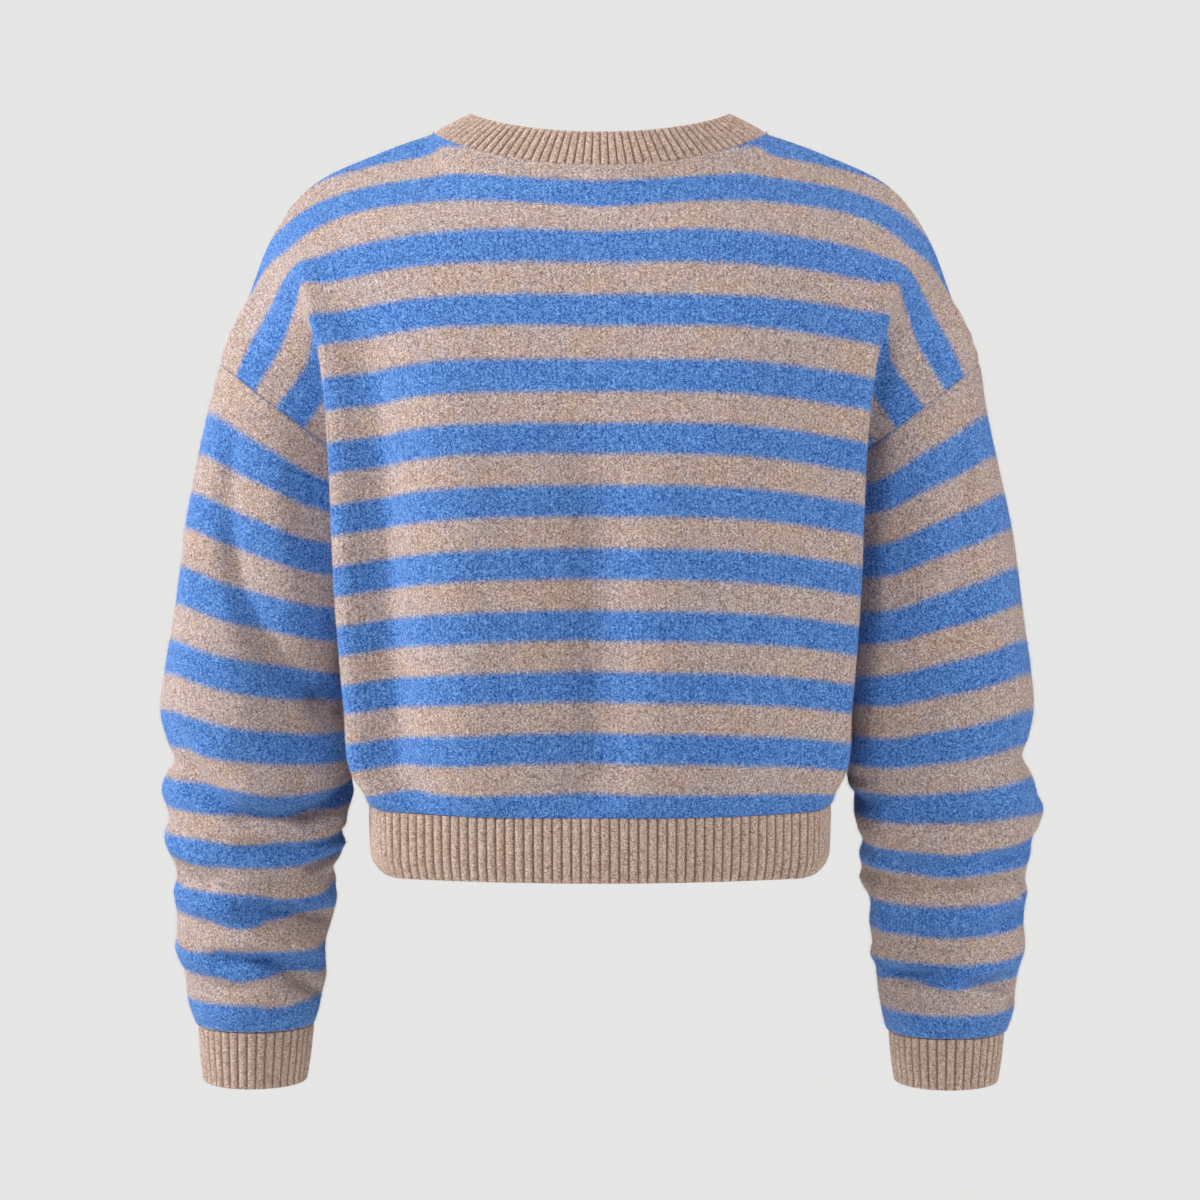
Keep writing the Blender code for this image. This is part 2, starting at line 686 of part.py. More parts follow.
def main():
    """Build the nine pieces."""
    clear_scene()
    knit = knit_finish("striped_knit", *BLUE_TAUPE_KNIT)
    rib = knit_finish("taupe_rib", *TAUPE_RIB)
    back = Panel(BACK_COURSES, side=1)
    front = Panel(FRONT_COURSES, side=-1)
    cloth_wall("back_panel", *panel_grids(back), False, knit)
    cloth_wall("front_panel", *panel_grids(front), False, knit)
    cloth_wall("sleeve_left", *sleeve_grids(LEFT_FOLDS, 1), True, knit)
    cloth_wall("sleeve_right", *sleeve_grids(RIGHT_FOLDS, -1), True, knit)
    cloth_wall("neck_rib", *neck_grids(), True, rib)
    cloth_wall("hem_rib_back", *hem_grids(back), False, rib)
    cloth_wall("hem_rib_front", *hem_grids(front), False, rib)
    cloth_wall("cuff_rib_left", *cuff_grids(1), True, rib)
    cloth_wall("cuff_rib_right", *cuff_grids(-1), True, rib)


main()
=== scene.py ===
"""Dresses the cropped sweater: striped brushed knit, ribs, raised nap, studio light and camera.

Each cloth piece is a thin soft sheet over the form of its solid.  A place on it is named by its
stripe, counted in colour bands along the knitting, and its wale, counted in columns of stitches
across it.  Both go with the mesh in the UV map that the finishes read.

Sizes in the tables are in millimetres and MM turns them to metres.  The origin lies midway
between the neck points.  +Z is up, -Y is the front and +X the wearer's left.
"""

from __future__ import annotations

import logging
import math
from dataclasses import dataclass, field
from enum import Enum
from typing import Any, Union

import bpy
import numpy as np
from numpy.typing import NDArray
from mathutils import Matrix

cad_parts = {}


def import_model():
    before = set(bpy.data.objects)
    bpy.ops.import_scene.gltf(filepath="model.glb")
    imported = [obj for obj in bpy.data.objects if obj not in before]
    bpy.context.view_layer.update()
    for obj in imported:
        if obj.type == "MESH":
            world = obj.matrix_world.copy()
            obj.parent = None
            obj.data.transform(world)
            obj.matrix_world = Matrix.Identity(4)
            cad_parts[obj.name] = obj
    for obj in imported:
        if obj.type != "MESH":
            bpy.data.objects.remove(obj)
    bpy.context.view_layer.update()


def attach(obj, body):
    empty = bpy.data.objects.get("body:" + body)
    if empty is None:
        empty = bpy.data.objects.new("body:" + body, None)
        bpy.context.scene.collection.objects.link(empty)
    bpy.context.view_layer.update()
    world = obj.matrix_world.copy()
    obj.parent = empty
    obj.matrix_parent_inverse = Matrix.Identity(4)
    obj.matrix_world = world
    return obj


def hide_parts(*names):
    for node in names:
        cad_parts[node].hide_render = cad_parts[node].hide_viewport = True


Array = NDArray[np.float64]

MM = 0.001
BODY = "root"
KNIT_MAP = "knit"
BAKE_MAP = "OFBake"
LOG = logging.getLogger("cropped_knit_sweater")

# Cloth, with a colour band's height on the body and its rows and columns of stitches
CLOTH = 2.6
RIB_CLOTH = 3.2
BAND = 20.22
ROWS_PER_BAND = 11
WALES_PER_HALF = 86
SLEEVE_WALES = 132
SLEEVE_BAND = 21.0
SLEEVE_RADIUS = 54.0

# Body panel: places across a half, as shares of its width, and its main courses
NECK_SHARE = 0.337
LIP_SHARE = 0.72
FOLD_SHARE = 0.86
BACK_STEPS = (0.0, 0.3, 0.55, 0.76, 0.9, 1.0)
SHOULDER_TIP_COURSE = 50.0
UNDERARM_COURSE = 190.0
HEM_COURSE = 461.0
TOP_FIT_REACH = 90.0
TOP_FIT_SPREAD = 0.2
TOP_FIT_POWER = 3
TOP_FIT_WEIGHTS = ((-1.0, 1), (-0.5, 2), (0.0, 3), (0.5, 2), (1.0, 1))
HALF_PANEL_WIDTH = 225.0

# Counts of the nap's fibres, and the length and width of a fibre on the ribs
PANEL_FIBRES = 104000
SLEEVE_FIBRES = 76000
NECK_FIBRES = 12000
HEM_FIBRES = 11000
CUFF_FIBRES = 6500
RIB_FIBRE = (1.3, 0.16)

# A fibre's corners in its own square cell of the bake map
BAKED_FIBRE = np.array(((0.1, 0.1), (0.9, 0.1), (0.5, 0.9)))

# Flat sizes that the pieces were cut to, in metres, with a panel's and a sleeve's cut area
PANEL_FLAT, PANEL_AREA = (0.53, 0.5), 0.22
SLEEVE_FLAT, SLEEVE_AREA = (0.36, 0.44), 0.14
NECK_FLAT = (0.62, 0.035)
HEM_FLAT = (0.4, 0.05)
CUFF_FLAT = (0.24, 0.045)

# Ribs of the neckband, of each hem rib and of each cuff
NECK_RIBS = 108
HEM_RIBS = 70
CUFF_RIBS = 38

# Ways the neckline, ribs and rows are shaped: powers, shares and steps
NECK_DROP_POWER = 1.5
RIB_POWER = 0.8
RIB_CROWN = 0.18
RIB_ROW = 1.9
FINE_STEPS = np.array((0.0, 1.0, 2.3, 4.0))
EVEN_FROM = 6.5
FOLD_END = 0.7
FOLD_END_POWER = 4

# Armhole ring
ARMHOLE_CENTRE = np.array((214.0, -18.0, -190.8))
ARMHOLE_HALF_LENGTH = 57.7
ARMHOLE_HALF_DEPTH = 42.0
ARMHOLE_SLOPE = math.radians(37.0)
SEAM_TURN = math.radians(-20.0)
SIDE_Y = -18.0


@dataclass(frozen=True)
class NeckRing:
    """One ring of the neckline, rounder or squarer by its power."""

    half_width: float
    back_y: float
    front_y: float
    side_y: float
    back_z: float
    front_z: float
    side_z: float
    power: float

    def points(self, turn: Array) -> Array:
        """Places points round the ring.

        Args:
            turn: Angles, 0 at the left shoulder and a quarter turn at the middle back.

        Returns:
            Points in millimetres.
        """
        cos, sin = np.cos(turn), np.sin(turn)
        across = np.sign(cos) * np.abs(cos) ** (2 / self.power)
        deep = np.abs(sin) ** (2 / self.power)
        y_end = np.where(sin > 0, self.back_y, self.front_y)
        z_end = np.where(sin > 0, self.back_z, self.front_z)
        y = self.side_y + (y_end - self.side_y) * deep
        z = self.side_z + (z_end - self.side_z) * deep**NECK_DROP_POWER
        return np.stack([self.half_width * across, y, z], axis=-1)


NECK_SEAM = NeckRing(113.0, 58.0, -93.0, 0.0, -28.0, -88.0, 0.0, 2.0)
NECK_TOP = NeckRing(87.0, 50.0, -88.0, 4.0, -4.5, -66.0, 13.0, 2.1)


@dataclass(frozen=True)
class Course:
    """One knitted course of a panel's left half.

    It starts at the middle, bows round to the lip over the armpit, drops into the fold beside
    the arm and ends at the armhole or the side seam.
    """

    course: float
    mid_y: float
    mid_z: float
    lip_x: float
    lip_y: float
    lip_z: float
    bow: float
    sag: float
    rise: float
    spread: float
    fold_x: float
    fold_y: float
    fold_z: float


BACK_COURSES = (
    Course(20, 56, -19, 222, -10, -58, 0.9, 5, 4, 0.26, 241, -20, -104),
    Course(61, 67, -57, 210, 26, -88, 1.4, 6, 5, 0.26, 233, 0, -114),
    Course(81, 74, -74, 202, 38, -95, 2.3, 3, 3, 0.25, 221, 20, -134),
    Course(101, 79, -95, 197, 46, -110, 2.6, 3, 1, 0.23, 208, 27, -148),
    Course(142, 88, -138, 185, 53, -149, 3.0, 3, 1, 0.18, 180, 26, -171),
    Course(182, 94, -181, 179, 56, -192, 3.2, 3, 0, 0.15, 170, 24, -204),
    Course(205, 96, -204, 177, 57, -216, 3.2, 3, 0, 0.14, 168, 20, -226),
    Course(303, 95, -304, 172, 56, -315, 3.2, 3, 0, 0.12, 169, 18, -316),
    Course(384, 92, -385, 166, 52, -393, 3.2, 3, 0, 0.12, 165, 17, -391),
    Course(425, 90, -426, 162.5, 50, -432, 3.0, 3, 0, 0.12, 163, 16, -431),
    Course(461, 87, -461.5, 143, 50, -459, 2.6, 3, 0, 0.1, 155, 18, -457),
)
FRONT_COURSES = (
    Course(20, -16, -5, 217, -30, -60, 1.5, 3, 0, 0.26, 239, -36, -104),
    Course(61, -63, -41, 207, -48, -86, 1.5, 3, 0, 0.26, 232, -48, -124),
    Course(81, -82, -68, 200, -60, -99, 1.8, 3, 0, 0.25, 220, -56, -143),
    Course(101, -98, -96, 194, -68, -117, 2.3, 3, 0, 0.23, 207, -62, -158),
    Course(142, -114, -140, 184, -79, -156, 2.6, 3, 0, 0.18, 184, -64, -184),
    Course(182, -124, -181, 178, -87, -196, 2.8, 3, 0, 0.15, 171, -62, -211),
    Course(205, -127, -204, 176, -90, -219, 3.0, 3, 0, 0.14, 168, -57, -228),
    Course(303, -126, -304, 170, -88, -315, 3.0, 3, 0, 0.12, 168, -52, -316),
    Course(384, -123, -385, 165, -85, -393, 3.0, 3, 0, 0.12, 164, -51, -391),
    Course(425, -121, -426, 160.5, -83, -432, 2.8, 3, 0, 0.12, 162, -51, -431),
    Course(461, -118, -461.5, 143, -84, -459, 2.6, 3, 0, 0.1, 155, -54, -457),
)

# Shoulder seam from the neck point: share, x, y, z, course
SHOULDER_SEAM = np.array(
    (
        (0.337, 113, 0, 0, 0),
        (0.47, 152, -2, -14, 8),
        (0.60, 195, -6, -34, 17),
        (0.74, 223, -13, -67, 28),
        (0.88, 242, -22, -113, 40),
    ),
    dtype=float,
)

# How far the stripes run ahead of the courses towards the shoulder, in courses: a row for each
# course, a column for each share of LEAD_SHARES
LEAD_SHARES = np.array((0.0, 0.45, 0.6, 0.7, 0.78, 0.87, 1.0))
LEAD_COURSES = np.array((-10.0, 10, 45, 61, 81, 101, 121, 142, 165, 190, 470))
STRIPE_LEADS = np.array(
    (
        (0, 0, 3, 5, 8, 8, 8),
        (0, 0, 3, 5, 8, 8, 8),
        (0, 1, 5, 9, 13, 12, 9),
        (0, 1, 4, 6, 9, 10, 8),
        (0, 1, 2.5, 3.5, 7, 8, 7),
        (0, 0.5, 0.7, 2, 7, 7, 6.4),
        (0, 0, 0, 0.5, 3, 4, 5),
        (0, 0, 0, 0, 0, -0.5, -2),
        (0, 0, 0, 0, 0, -1, -2),
        (0, 0, 0, 0, 0, 0, 0),
        (0, 0, 0, 0, 0, 0, 0),
    ),
    dtype=float,
)

# Side seam from the underarm to the hem: course, x, z
SIDE_SEAM = np.array(
    (
        (190, 168.0, -225.5),
        (205, 167.0, -236),
        (240, 168.0, -262),
        (303, 169.5, -317),
        (360, 168.5, -370),
        (384, 165.5, -391),
        (425, 163.0, -431),
        (461, 158.0, -456.5),
    )
)


@dataclass(frozen=True)
class SleeveRing:
    """One ring of a sleeve.  Pitch tips it forward, slope tips it inward."""

    stripe: float
    x: float
    y: float
    z: float
    half_width: float
    half_depth: float
    slope: float
    pitch: float

    def values(self) -> tuple[float, ...]:
        """Its middle, half width, half depth, slope and pitch."""
        return self.x, self.y, self.z, self.half_width, self.half_depth, self.slope, self.pitch


SLEEVE_RINGS = (
    SleeveRing(0, 214.0, -18, -190.8, 57.7, 42, 37, 0),
    SleeveRing(1, 219.5, -18, -216.5, 55.5, 44, 27, 1),
    SleeveRing(2, 224.5, -18, -239.5, 55.0, 46, 21, 2),
    SleeveRing(4, 231.0, -19, -285.0, 57.0, 49, 15, 3),
    SleeveRing(6, 234.0, -21, -333.0, 60.5, 51, 11, 4),
    SleeveRing(8, 236.0, -25, -377.0, 63.5, 53, 8, 5),
    SleeveRing(10, 233.5, -31, -421.0, 64.0, 53, 4, 7),
    SleeveRing(12, 233.5, -38, -457.0, 63.5, 52, 0, 8),
    SleeveRing(14, 235.5, -44, -492.0, 58.0, 50, 1, 9),
    SleeveRing(16, 236.5, -49, -530.0, 54.0, 47, 1, 9),
    SleeveRing(18, 237.5, -54, -571.0, 49.5, 44, 1, 8),
    SleeveRing(19, 237.0, -56, -590.0, 46.0, 42, 0, 7),
    SleeveRing(20, 235.6, -58, -610.5, 39.5, 37, 0, 6),
)


@dataclass(frozen=True)
class Sway:
    """How a sleeve departs from its even rings at one stripe, in millimetres.

    The ring moves out and down, and its outer and inner sides stand proud.  The stripes run
    late by a share of a band.
    """

    stripe: float
    out: float
    down: float
    outer: float
    inner: float
    late: float = 0.0

    def values(self) -> tuple[float, ...]:
        """Its out, down, outer, inner and late."""
        return self.out, self.down, self.outer, self.inner, self.late


LEFT_SWAYS = (
    Sway(0, 0, 0, 0, 0),
    Sway(8, 0, 0, 0, 0),
    Sway(9.2, 0, 0, 3.2, -1),
    Sway(10, 0, 0, -1.5, 0),
    Sway(10.45, 0, 0, -5.2, 0.5),
    Sway(10.9, 0, 0, 0.5, 1.2),
    Sway(11.5, 0, 0, 4.7, 0.4),
    Sway(12, 0.3, 0, 1.8, -1.6),
    Sway(12.6, 0.5, 0, 0.6, -3.8),
    Sway(13.1, 1, 0, 3.8, -3.6),
    Sway(13.6, 1, 0, 4.6, 0),
    Sway(14, 1.5, 0, 2.4, 0.6),
    Sway(14.5, 1.8, 0, -1.2, -4.2),
    Sway(15, 2, 0, -1.9, -2.7),
    Sway(15.6, 2, 0, 1.1, 1.3),
    Sway(16.2, 2, 0, 0.6, 1.7),
    Sway(17.1, 2.3, 0, 2, -2.6),
    Sway(17.6, 2.3, 0, 2.8, -1.5),
    Sway(18.1, 2.5, 0, -0.7, 0.8),
    Sway(19, 2.7, 0, 0.6, 1),
    Sway(20, 3.2, 0, 2.6, 1.2),
)
RIGHT_SWAYS = (
    Sway(0, 0, 0, 0, 0),
    Sway(0.6, 0, 0, -3, 0),
    Sway(1.2, 0, 0, -4, 0),
    Sway(4, 0, 0, -3.9, 0),
    Sway(8, 0, 0, -3, 0),
    Sway(9, 0, 0, -0.9, -1),
    Sway(9.7, 0, 0, -3, -1, 0),
    Sway(10.35, 0, 0, -7, -0.5, 0.02),
    Sway(10.9, 0.5, 0, -1.5, -0.6, 0.07),
    Sway(11.5, 1.5, 0, 2.5, -0.2, 0.15),
    Sway(12.2, 2.5, 0, 3.6, -1.1, 0.27),
    Sway(13, 3, 0, 4.2, -3.2, 0.39),
    Sway(13.5, 3.3, 0, 3, -2.9, 0.38),
    Sway(14, 3.5, 0, 1.1, 1.9, 0.36),
    Sway(14.7, 3.8, 0, -1.8, 2.5, 0.38),
    Sway(15.1, 4, 0, -1.6, 1.2, 0.40),
    Sway(15.7, 4.2, 0, 1.8, -1.4, 0.48),
    Sway(16.4, 4.3, 0, -0.7, 1.2, 0.54),
    Sway(17.4, 4.4, 0, 1.6, 0.2, 0.46),
    Sway(18.3, 4.5, 0.5, -1.2, 1.2, 0.28),
    Sway(19, 4.7, 2.5, 0.8, 1.8, 0.26),
    Sway(20, 5, 4.5, 3, 2.4, 0.02),
)
LEFT_CUFF = (
    SleeveRing(0, 238.9, -58, -611.3, 40.2, 37.2, 0, 6),
    SleeveRing(1, 240.0, -62, -651.0, 36.2, 34.0, 0, 6),
)
RIGHT_CUFF = (
    SleeveRing(0, 240.8, -58, -615.8, 40.2, 37.2, 0, 6),
    SleeveRing(1, 240.8, -62, -651.8, 36.2, 34.0, 0, 6),
)


@dataclass(frozen=True)
class Fold:
    """A soft ridge from one end to the other, or a trough where its height is below 0.

    An end on a sleeve is a stripe and a turn in degrees, one on a panel a course and a share.
    Where it shifts the stripes instead of the cloth, its height is a share of a band.
    """

    start: tuple[float, ...]
    end: tuple[float, ...]
    height: float
    width: float

    def middle(self) -> tuple[float, float]:
        """The place midway between its ends."""
        return (self.start[0] + self.end[0]) / 2, (self.start[1] + self.end[1]) / 2

    def heights(self, along: Array, across: Array, steps: tuple[float, float]) -> Array:
        """Height of the fold at places given from its middle.

        Args:
            along: Millimetres along the knitting.
            across: Millimetres across it.
            steps: Millimetres to one unit of the ends' places, along and across.

        Returns:
            Heights in millimetres.
        """
        run_along = (self.end[0] - self.start[0]) * steps[0]
        run_across = (self.end[1] - self.start[1]) * steps[1]
        length = math.hypot(run_along, run_across)
        share = (along * run_along + across * run_across) / length * 2 / length
        apart = (along * run_across - across * run_along) / length / self.width
        return self.height * np.exp(-FOLD_END * share**FOLD_END_POWER - apart * apart)


def folds(*rows: tuple[float, ...]) -> tuple[Fold, ...]:
    """Makes folds of rows: the start's two numbers, the end's two, height and width."""
    return tuple(Fold(row[:2], row[2:4], *row[4:]) for row in rows)


LEFT_FOLDS = folds(
    (0.8, 150, 6.6, 142, 7.0, 20),
    (1.2, 56, 4.6, 74, -5.6, 9),
    (4.0, 72, 7.0, 104, -8.0, 10),
    (6.4, 98, 8.5, 152, -8.6, 10),
    (7.9, 138, 8.7, 176, -7.0, 8),
    (1.4, 96, 6.2, 126, 5.4, 13),
    (2.5, 30, 8.0, 46, 3.6, 16),
    (6.6, 56, 8.8, 92, 5.2, 17),
    (8.8, 28, 11.0, 50, -3.6, 8),
    (10.7, 46, 12.1, 86, -7.6, 8),
    (12.05, 84, 12.1, 132, -8.6, 8),
    (12.1, 126, 11.1, 176, -9.5, 9),
    (9.6, 58, 11.1, 92, 5.2, 12),
    (11.0, 90, 10.5, 142, 6.0, 12),
    (12.95, 112, 12.6, 168, 6.4, 7),
    (14.1, 130, 13.85, 176, -8.4, 5),
    (13.6, 126, 13.45, 174, 5.0, 5),
    (13.2, 20, 14.0, 62, 4.8, 8),
    (14.1, 34, 14.7, 62, -5.9, 5),
    (15.2, 18, 15.9, 88, 6.7, 7),
    (15.6, 84, 16.2, 172, -10.6, 8),
    (16.7, 66, 16.8, 150, 6.2, 8),
    (17.2, 100, 18.6, 156, -8.4, 7),
    (17.35, 50, 17.3, 104, -6.4, 6),
    (18.25, 124, 18.95, 174, -5.0, 5),
    (19.45, 20, 19.55, 155, 1.6, 7),
    (14.65, 18, 15.65, 36, -4.2, 4),
    (13.2, 80, 13.4, 120, -4.2, 6),
    (16.9, 126, 17.5, 166, 4.2, 6),
    (17.15, 18, 17.65, 62, 4.8, 6),
    (18.35, 48, 18.4, 100, -4.2, 6),
    (11.0, 190, 12.2, 245, -6.0, 8),
    (12.4, 200, 12.9, 262, 4.2, 8),
    (13.8, 215, 14.4, 285, -5.0, 7),
    (15.0, 190, 14.8, 250, 4.0, 7),
    (16.0, 205, 16.4, 290, -5.0, 7),
    (17.1, 230, 16.9, 320, 3.4, 7),
    (17.9, 200, 18.3, 270, -4.0, 6),
    (10.6, 300, 11.3, 350, -4.0, 6),
    (12.0, 280, 12.9, 335, -3.4, 7),
    (15.0, 300, 15.6, 345, 3.2, 7),
    (2.0, 215, 6.0, 245, -3.6, 12),
    (6.5, 240, 8.8, 205, -4.0, 11),
    (5.0, 285, 8.5, 292, 2.4, 15),
)
RIGHT_FOLDS = folds(
    (0.8, 60, 3.6, 73, -4.6, 8),
    (3.2, 71, 6.6, 86, -2.8, 10),
    (1.5, 100, 6.5, 112, 2.4, 15),
    (0.8, 150, 7.4, 146, 9.0, 20),
    (6.8, 146, 13.0, 146, 7.5, 20),
    (3.5, 40, 8.5, 48, 1.8, 15),
    (11.75, 186, 11.6, 127, -9.0, 9),
    (10.7, 172, 10.6, 126, -3.8, 7),
    (10.4, 34, 11.75, 2, -3.4, 4.5),
    (14.0, 68, 13.45, 4, -7.8, 8),
    (12.9, 158, 13.3, 84, 5.6, 9),
    (14.55, 178, 14.7, 108, -8.7, 7.5),
    (15.05, 106, 14.75, 36, -7.0, 8),
    (15.55, 158, 16.5, 143, 4.5, 6),
    (17.95, 150, 17.9, 96, -8.4, 6),
    (18.3, 110, 17.6, 50, 4.8, 7),
    (18.15, 84, 18.3, 30, -6.4, 6),
    (19.05, 30, 18.85, 2, -3.6, 4),
    (16.2, 60, 15.85, 2, -5.6, 6),
    (13.85, 142, 14.15, 108, -4.5, 6),
    (17.5, 186, 17.45, 126, 4.2, 6),
    (14.7, 32, 15.9, 8, -4.2, 4),
    (19.45, 152, 19.45, 20, 1.6, 7),
    (11.45, 60, 12.3, 2, 3.8, 9),
    (16.1, 110, 15.95, 58, 4.8, 8),
    (12.2, 110, 12.6, 60, -2.6, 8),
    (18.75, 164, 18.85, 120, -3.4, 6),
    (11.2, 190, 12.3, 248, -6.0, 8),
    (12.6, 204, 13.0, 266, 4.0, 8),
    (14.0, 212, 14.5, 288, -5.0, 7),
    (15.1, 186, 15.0, 252, 5.3, 7),
    (16.3, 205, 16.6, 285, -5.0, 7),
    (17.4, 235, 17.0, 318, 3.2, 7),
    (18.1, 204, 18.4, 272, -3.8, 6),
    (10.5, 302, 11.2, 350, -4.0, 6),
    (12.2, 278, 13.0, 332, -3.2, 7),
    (15.2, 300, 15.7, 345, 3.0, 7),
    (2.0, 214, 6.0, 246, -3.6, 12),
    (6.5, 236, 9.0, 200, -3.8, 11),
    (5.0, 288, 8.5, 290, 2.4, 15),
)

# Where a sleeve's stripes run late, or early where the share is below 0
LEFT_LAGS = folds(
    (0.5, 34, 10.5, 40, -0.17, 26),
    (0.5, 120, 4.5, 122, 0.13, 20),
    (11.6, 88, 11.7, 128, 0.26, 14),
    (13.0, 70, 12.9, 100, 0.16, 10),
    (15.0, 104, 15.0, 160, 0.26, 9),
    (16.0, 68, 16.0, 98, 0.24, 11),
    (15.9, 128, 16.1, 175, -0.16, 8),
    (17.0, 30, 17.0, 62, 0.22, 9),
    (18.0, 72, 18.0, 92, 0.14, 9),
    (17.9, 108, 18.0, 150, -0.18, 8),
    (19.0, 100, 19.0, 130, 0.12, 8),
    (12.0, 215, 12.4, 262, 0.22, 12),
    (14.5, 230, 14.4, 290, -0.18, 10),
    (16.6, 240, 16.5, 290, 0.22, 11),
    (18.2, 210, 18.1, 260, -0.14, 9),
)
RIGHT_LAGS = folds(
    (0.5, 34, 12.5, 40, -0.16, 26),
    (0.5, 124, 5.5, 126, 0.20, 20),
    (5.5, 124, 12.0, 124, 0.13, 18),
    (13.0, 70, 13.2, 96, 0.14, 10),
    (14.0, 110, 14.0, 150, -0.12, 9),
    (16.9, 108, 17.0, 150, -0.10, 9),
    (18.0, 74, 18.0, 96, 0.15, 9),
    (18.1, 112, 18.2, 155, -0.18, 8),
    (12.2, 215, 12.5, 262, 0.22, 12),
    (14.6, 230, 14.5, 290, -0.18, 10),
    (16.7, 240, 16.6, 290, 0.22, 11),
    (18.3, 210, 18.2, 260, -0.14, 9),
)

# Soft drapes and drag folds of the body; a share below 0 is on the wearer's right
BACK_DRAPES = folds(
    (140, 0.60, 455, 0.59, -13.5, 17),
    (150, 0.38, 455, 0.35, 7.5, 22),
    (135, 0.72, 450, 0.71, 4.6, 12),
    (230, 0.045, 460, 0.035, -10.5, 21),
    (240, -0.13, 455, -0.13, 5.5, 20),
    (160, -0.34, 450, -0.35, 3.2, 26),
    (180, -0.57, 440, -0.56, -3.4, 22),
    (82, 0.70, 122, 0.715, 3.0, 6),
    (88, 0.775, 128, 0.80, -3.8, 9),
    (84, -0.70, 126, -0.715, 2.6, 6),
    (90, -0.775, 130, -0.80, -3.4, 9),
    (224, 0.62, 248, 0.30, -0.7, 14),
    (220, -0.64, 244, -0.34, -0.8, 14),
    (344, -0.62, 358, -0.22, -0.7, 14),
    (392, -0.68, 386, -0.44, -1.0, 10),
    (420, 0.68, 416, 0.44, -1.0, 10),
)
FRONT_DRAPES = folds(
    (160, 0.56, 450, 0.55, -5.5, 20),
    (150, 0.68, 445, 0.67, 3.0, 12),
    (170, 0.30, 450, 0.30, 3.4, 26),
    (220, -0.03, 460, -0.02, -4.4, 25),
    (170, -0.31, 450, -0.30, 3.4, 26),
    (160, -0.55, 450, -0.54, -5.5, 20),
    (150, -0.68, 445, -0.67, 3.0, 12),
    (84, 0.70, 124, 0.715, 2.6, 6),
    (90, 0.775, 128, 0.80, -3.4, 9),
    (84, -0.70, 124, -0.715, 2.6, 6),
    (90, -0.775, 130, -0.80, -3.4, 9),
    (222, 0.64, 246, 0.34, -0.8, 14),
    (228, -0.62, 250, -0.32, -0.7, 14),
    (352, 0.64, 366, 0.24, -0.7, 14),
    (394, 0.68, 388, 0.46, -1.0, 10),
    (422, -0.68, 417, -0.46, -1.0, 10),
)


def smooth_curve(keys: Array, values: Array, at: Array, column: Array | None = None) -> Array:
    """Reads the smooth curve through values at rising keys.

    Args:
        keys: The knots.
        values: A number or vector for each knot, or for each knot and column.
        at: Where to read it.
        column: The column of each reading, where values has columns.

    Returns:
        The values read.
    """
    steps = np.diff(keys)
    tall = (-1,) + (1,) * (values.ndim - 1)
    rises = np.diff(values, axis=0) / steps.reshape(tall)
    share = (steps[:-1] / (steps[:-1] + steps[1:])).reshape(tall)
    inner = rises[:-1] * (1 - share) + rises[1:] * share
    slopes = np.concatenate([rises[:1], inner, rises[-1:]])
    span = np.clip(np.searchsorted(keys, at, side="right") - 1, 0, len(keys) - 2)
    here: tuple[Array, ...] = (span,) if column is None else (span, column)
    after: tuple[Array, ...] = (span + 1,) if column is None else (span + 1, column)
    wide = at.shape + (1,) * (values[here].ndim - at.ndim)
    width = steps[span].reshape(wide)
    along = ((at - keys[span]) / steps[span]).reshape(wide)
    low, rise = values[here], values[after] - values[here]
    start, end = slopes[here] * width, slopes[after] * width
    bend = start * along * (1 - along) ** 2 - end * along**2 * (1 - along)
    inside = low + rise * along**2 * (3 - 2 * along) + bend
    return np.where(along < 0, low + start * along, inside)


def ease(share: Array) -> Array:
    """Smooth step from 0 to 1."""
    held = np.clip(share, 0.0, 1.0)
    return held * held * (3 - 2 * held)


def unit(vectors: Array) -> Array:
    """Vectors of length one."""
    return vectors / np.maximum(np.linalg.norm(vectors, axis=-1, keepdims=True), 1e-12)


def doubled_areas(points: Array) -> Array:
    """Twice the area of each cell of a grid."""
    first = points[1:, 1:] - points[:-1, :-1]
    second = points[1:, :-1] - points[:-1, 1:]
    return np.linalg.norm(np.cross(first, second), axis=-1)


def seam_bump(distance: Array, height: float, width: float) -> Array:
    """Height of a soft swell beside a seam, or of the dip at it where height is below 0."""
    return height * np.exp(-((distance / width) ** 2))


def armhole_points(turn: Array) -> Array:
    """Points of the left armhole ring: 0 is its outer tip, a quarter turn its back."""
    along = np.array((math.cos(ARMHOLE_SLOPE), 0.0, math.sin(ARMHOLE_SLOPE)))
    offset = along * (ARMHOLE_HALF_LENGTH * np.cos(turn))[..., None]
    offset[..., 1] = ARMHOLE_HALF_DEPTH * np.sin(turn)
    return ARMHOLE_CENTRE + offset


def edge_spaced(count: int, fine: float) -> Array:
    """Shares from 0 to 1 in even steps, with three finer ones at each end.

    Args:
        count: Even steps between the ends.
        fine: Size of the first fine step.

    Returns:
        Rising shares, the first 0 and the last 1.
    """
    start = fine * FINE_STEPS
    inner = np.linspace(EVEN_FROM * fine, 1 - EVEN_FROM * fine, count)
    return np.concatenate([start, inner, 1 - start[::-1]])


def grid_normals(points: Array, closed: bool) -> Array:
    """Finds the outward normals of a grid whose rows run to the right seen from outside.

    Args:
        points: Rows from the top down, of points.
        closed: Whether each row meets its own start.

    Returns:
        A unit normal for each point.
    """
    if closed:
        along = np.roll(points, -1, axis=1) - np.roll(points, 1, axis=1)
    else:
        along = np.gradient(points, axis=1)
    return unit(np.cross(along, -np.gradient(points, axis=0)))


class Rim(Enum):
    """How a sheet ends along its top or bottom row."""

    SEWN = "sewn"
    ROUNDED = "rounded"


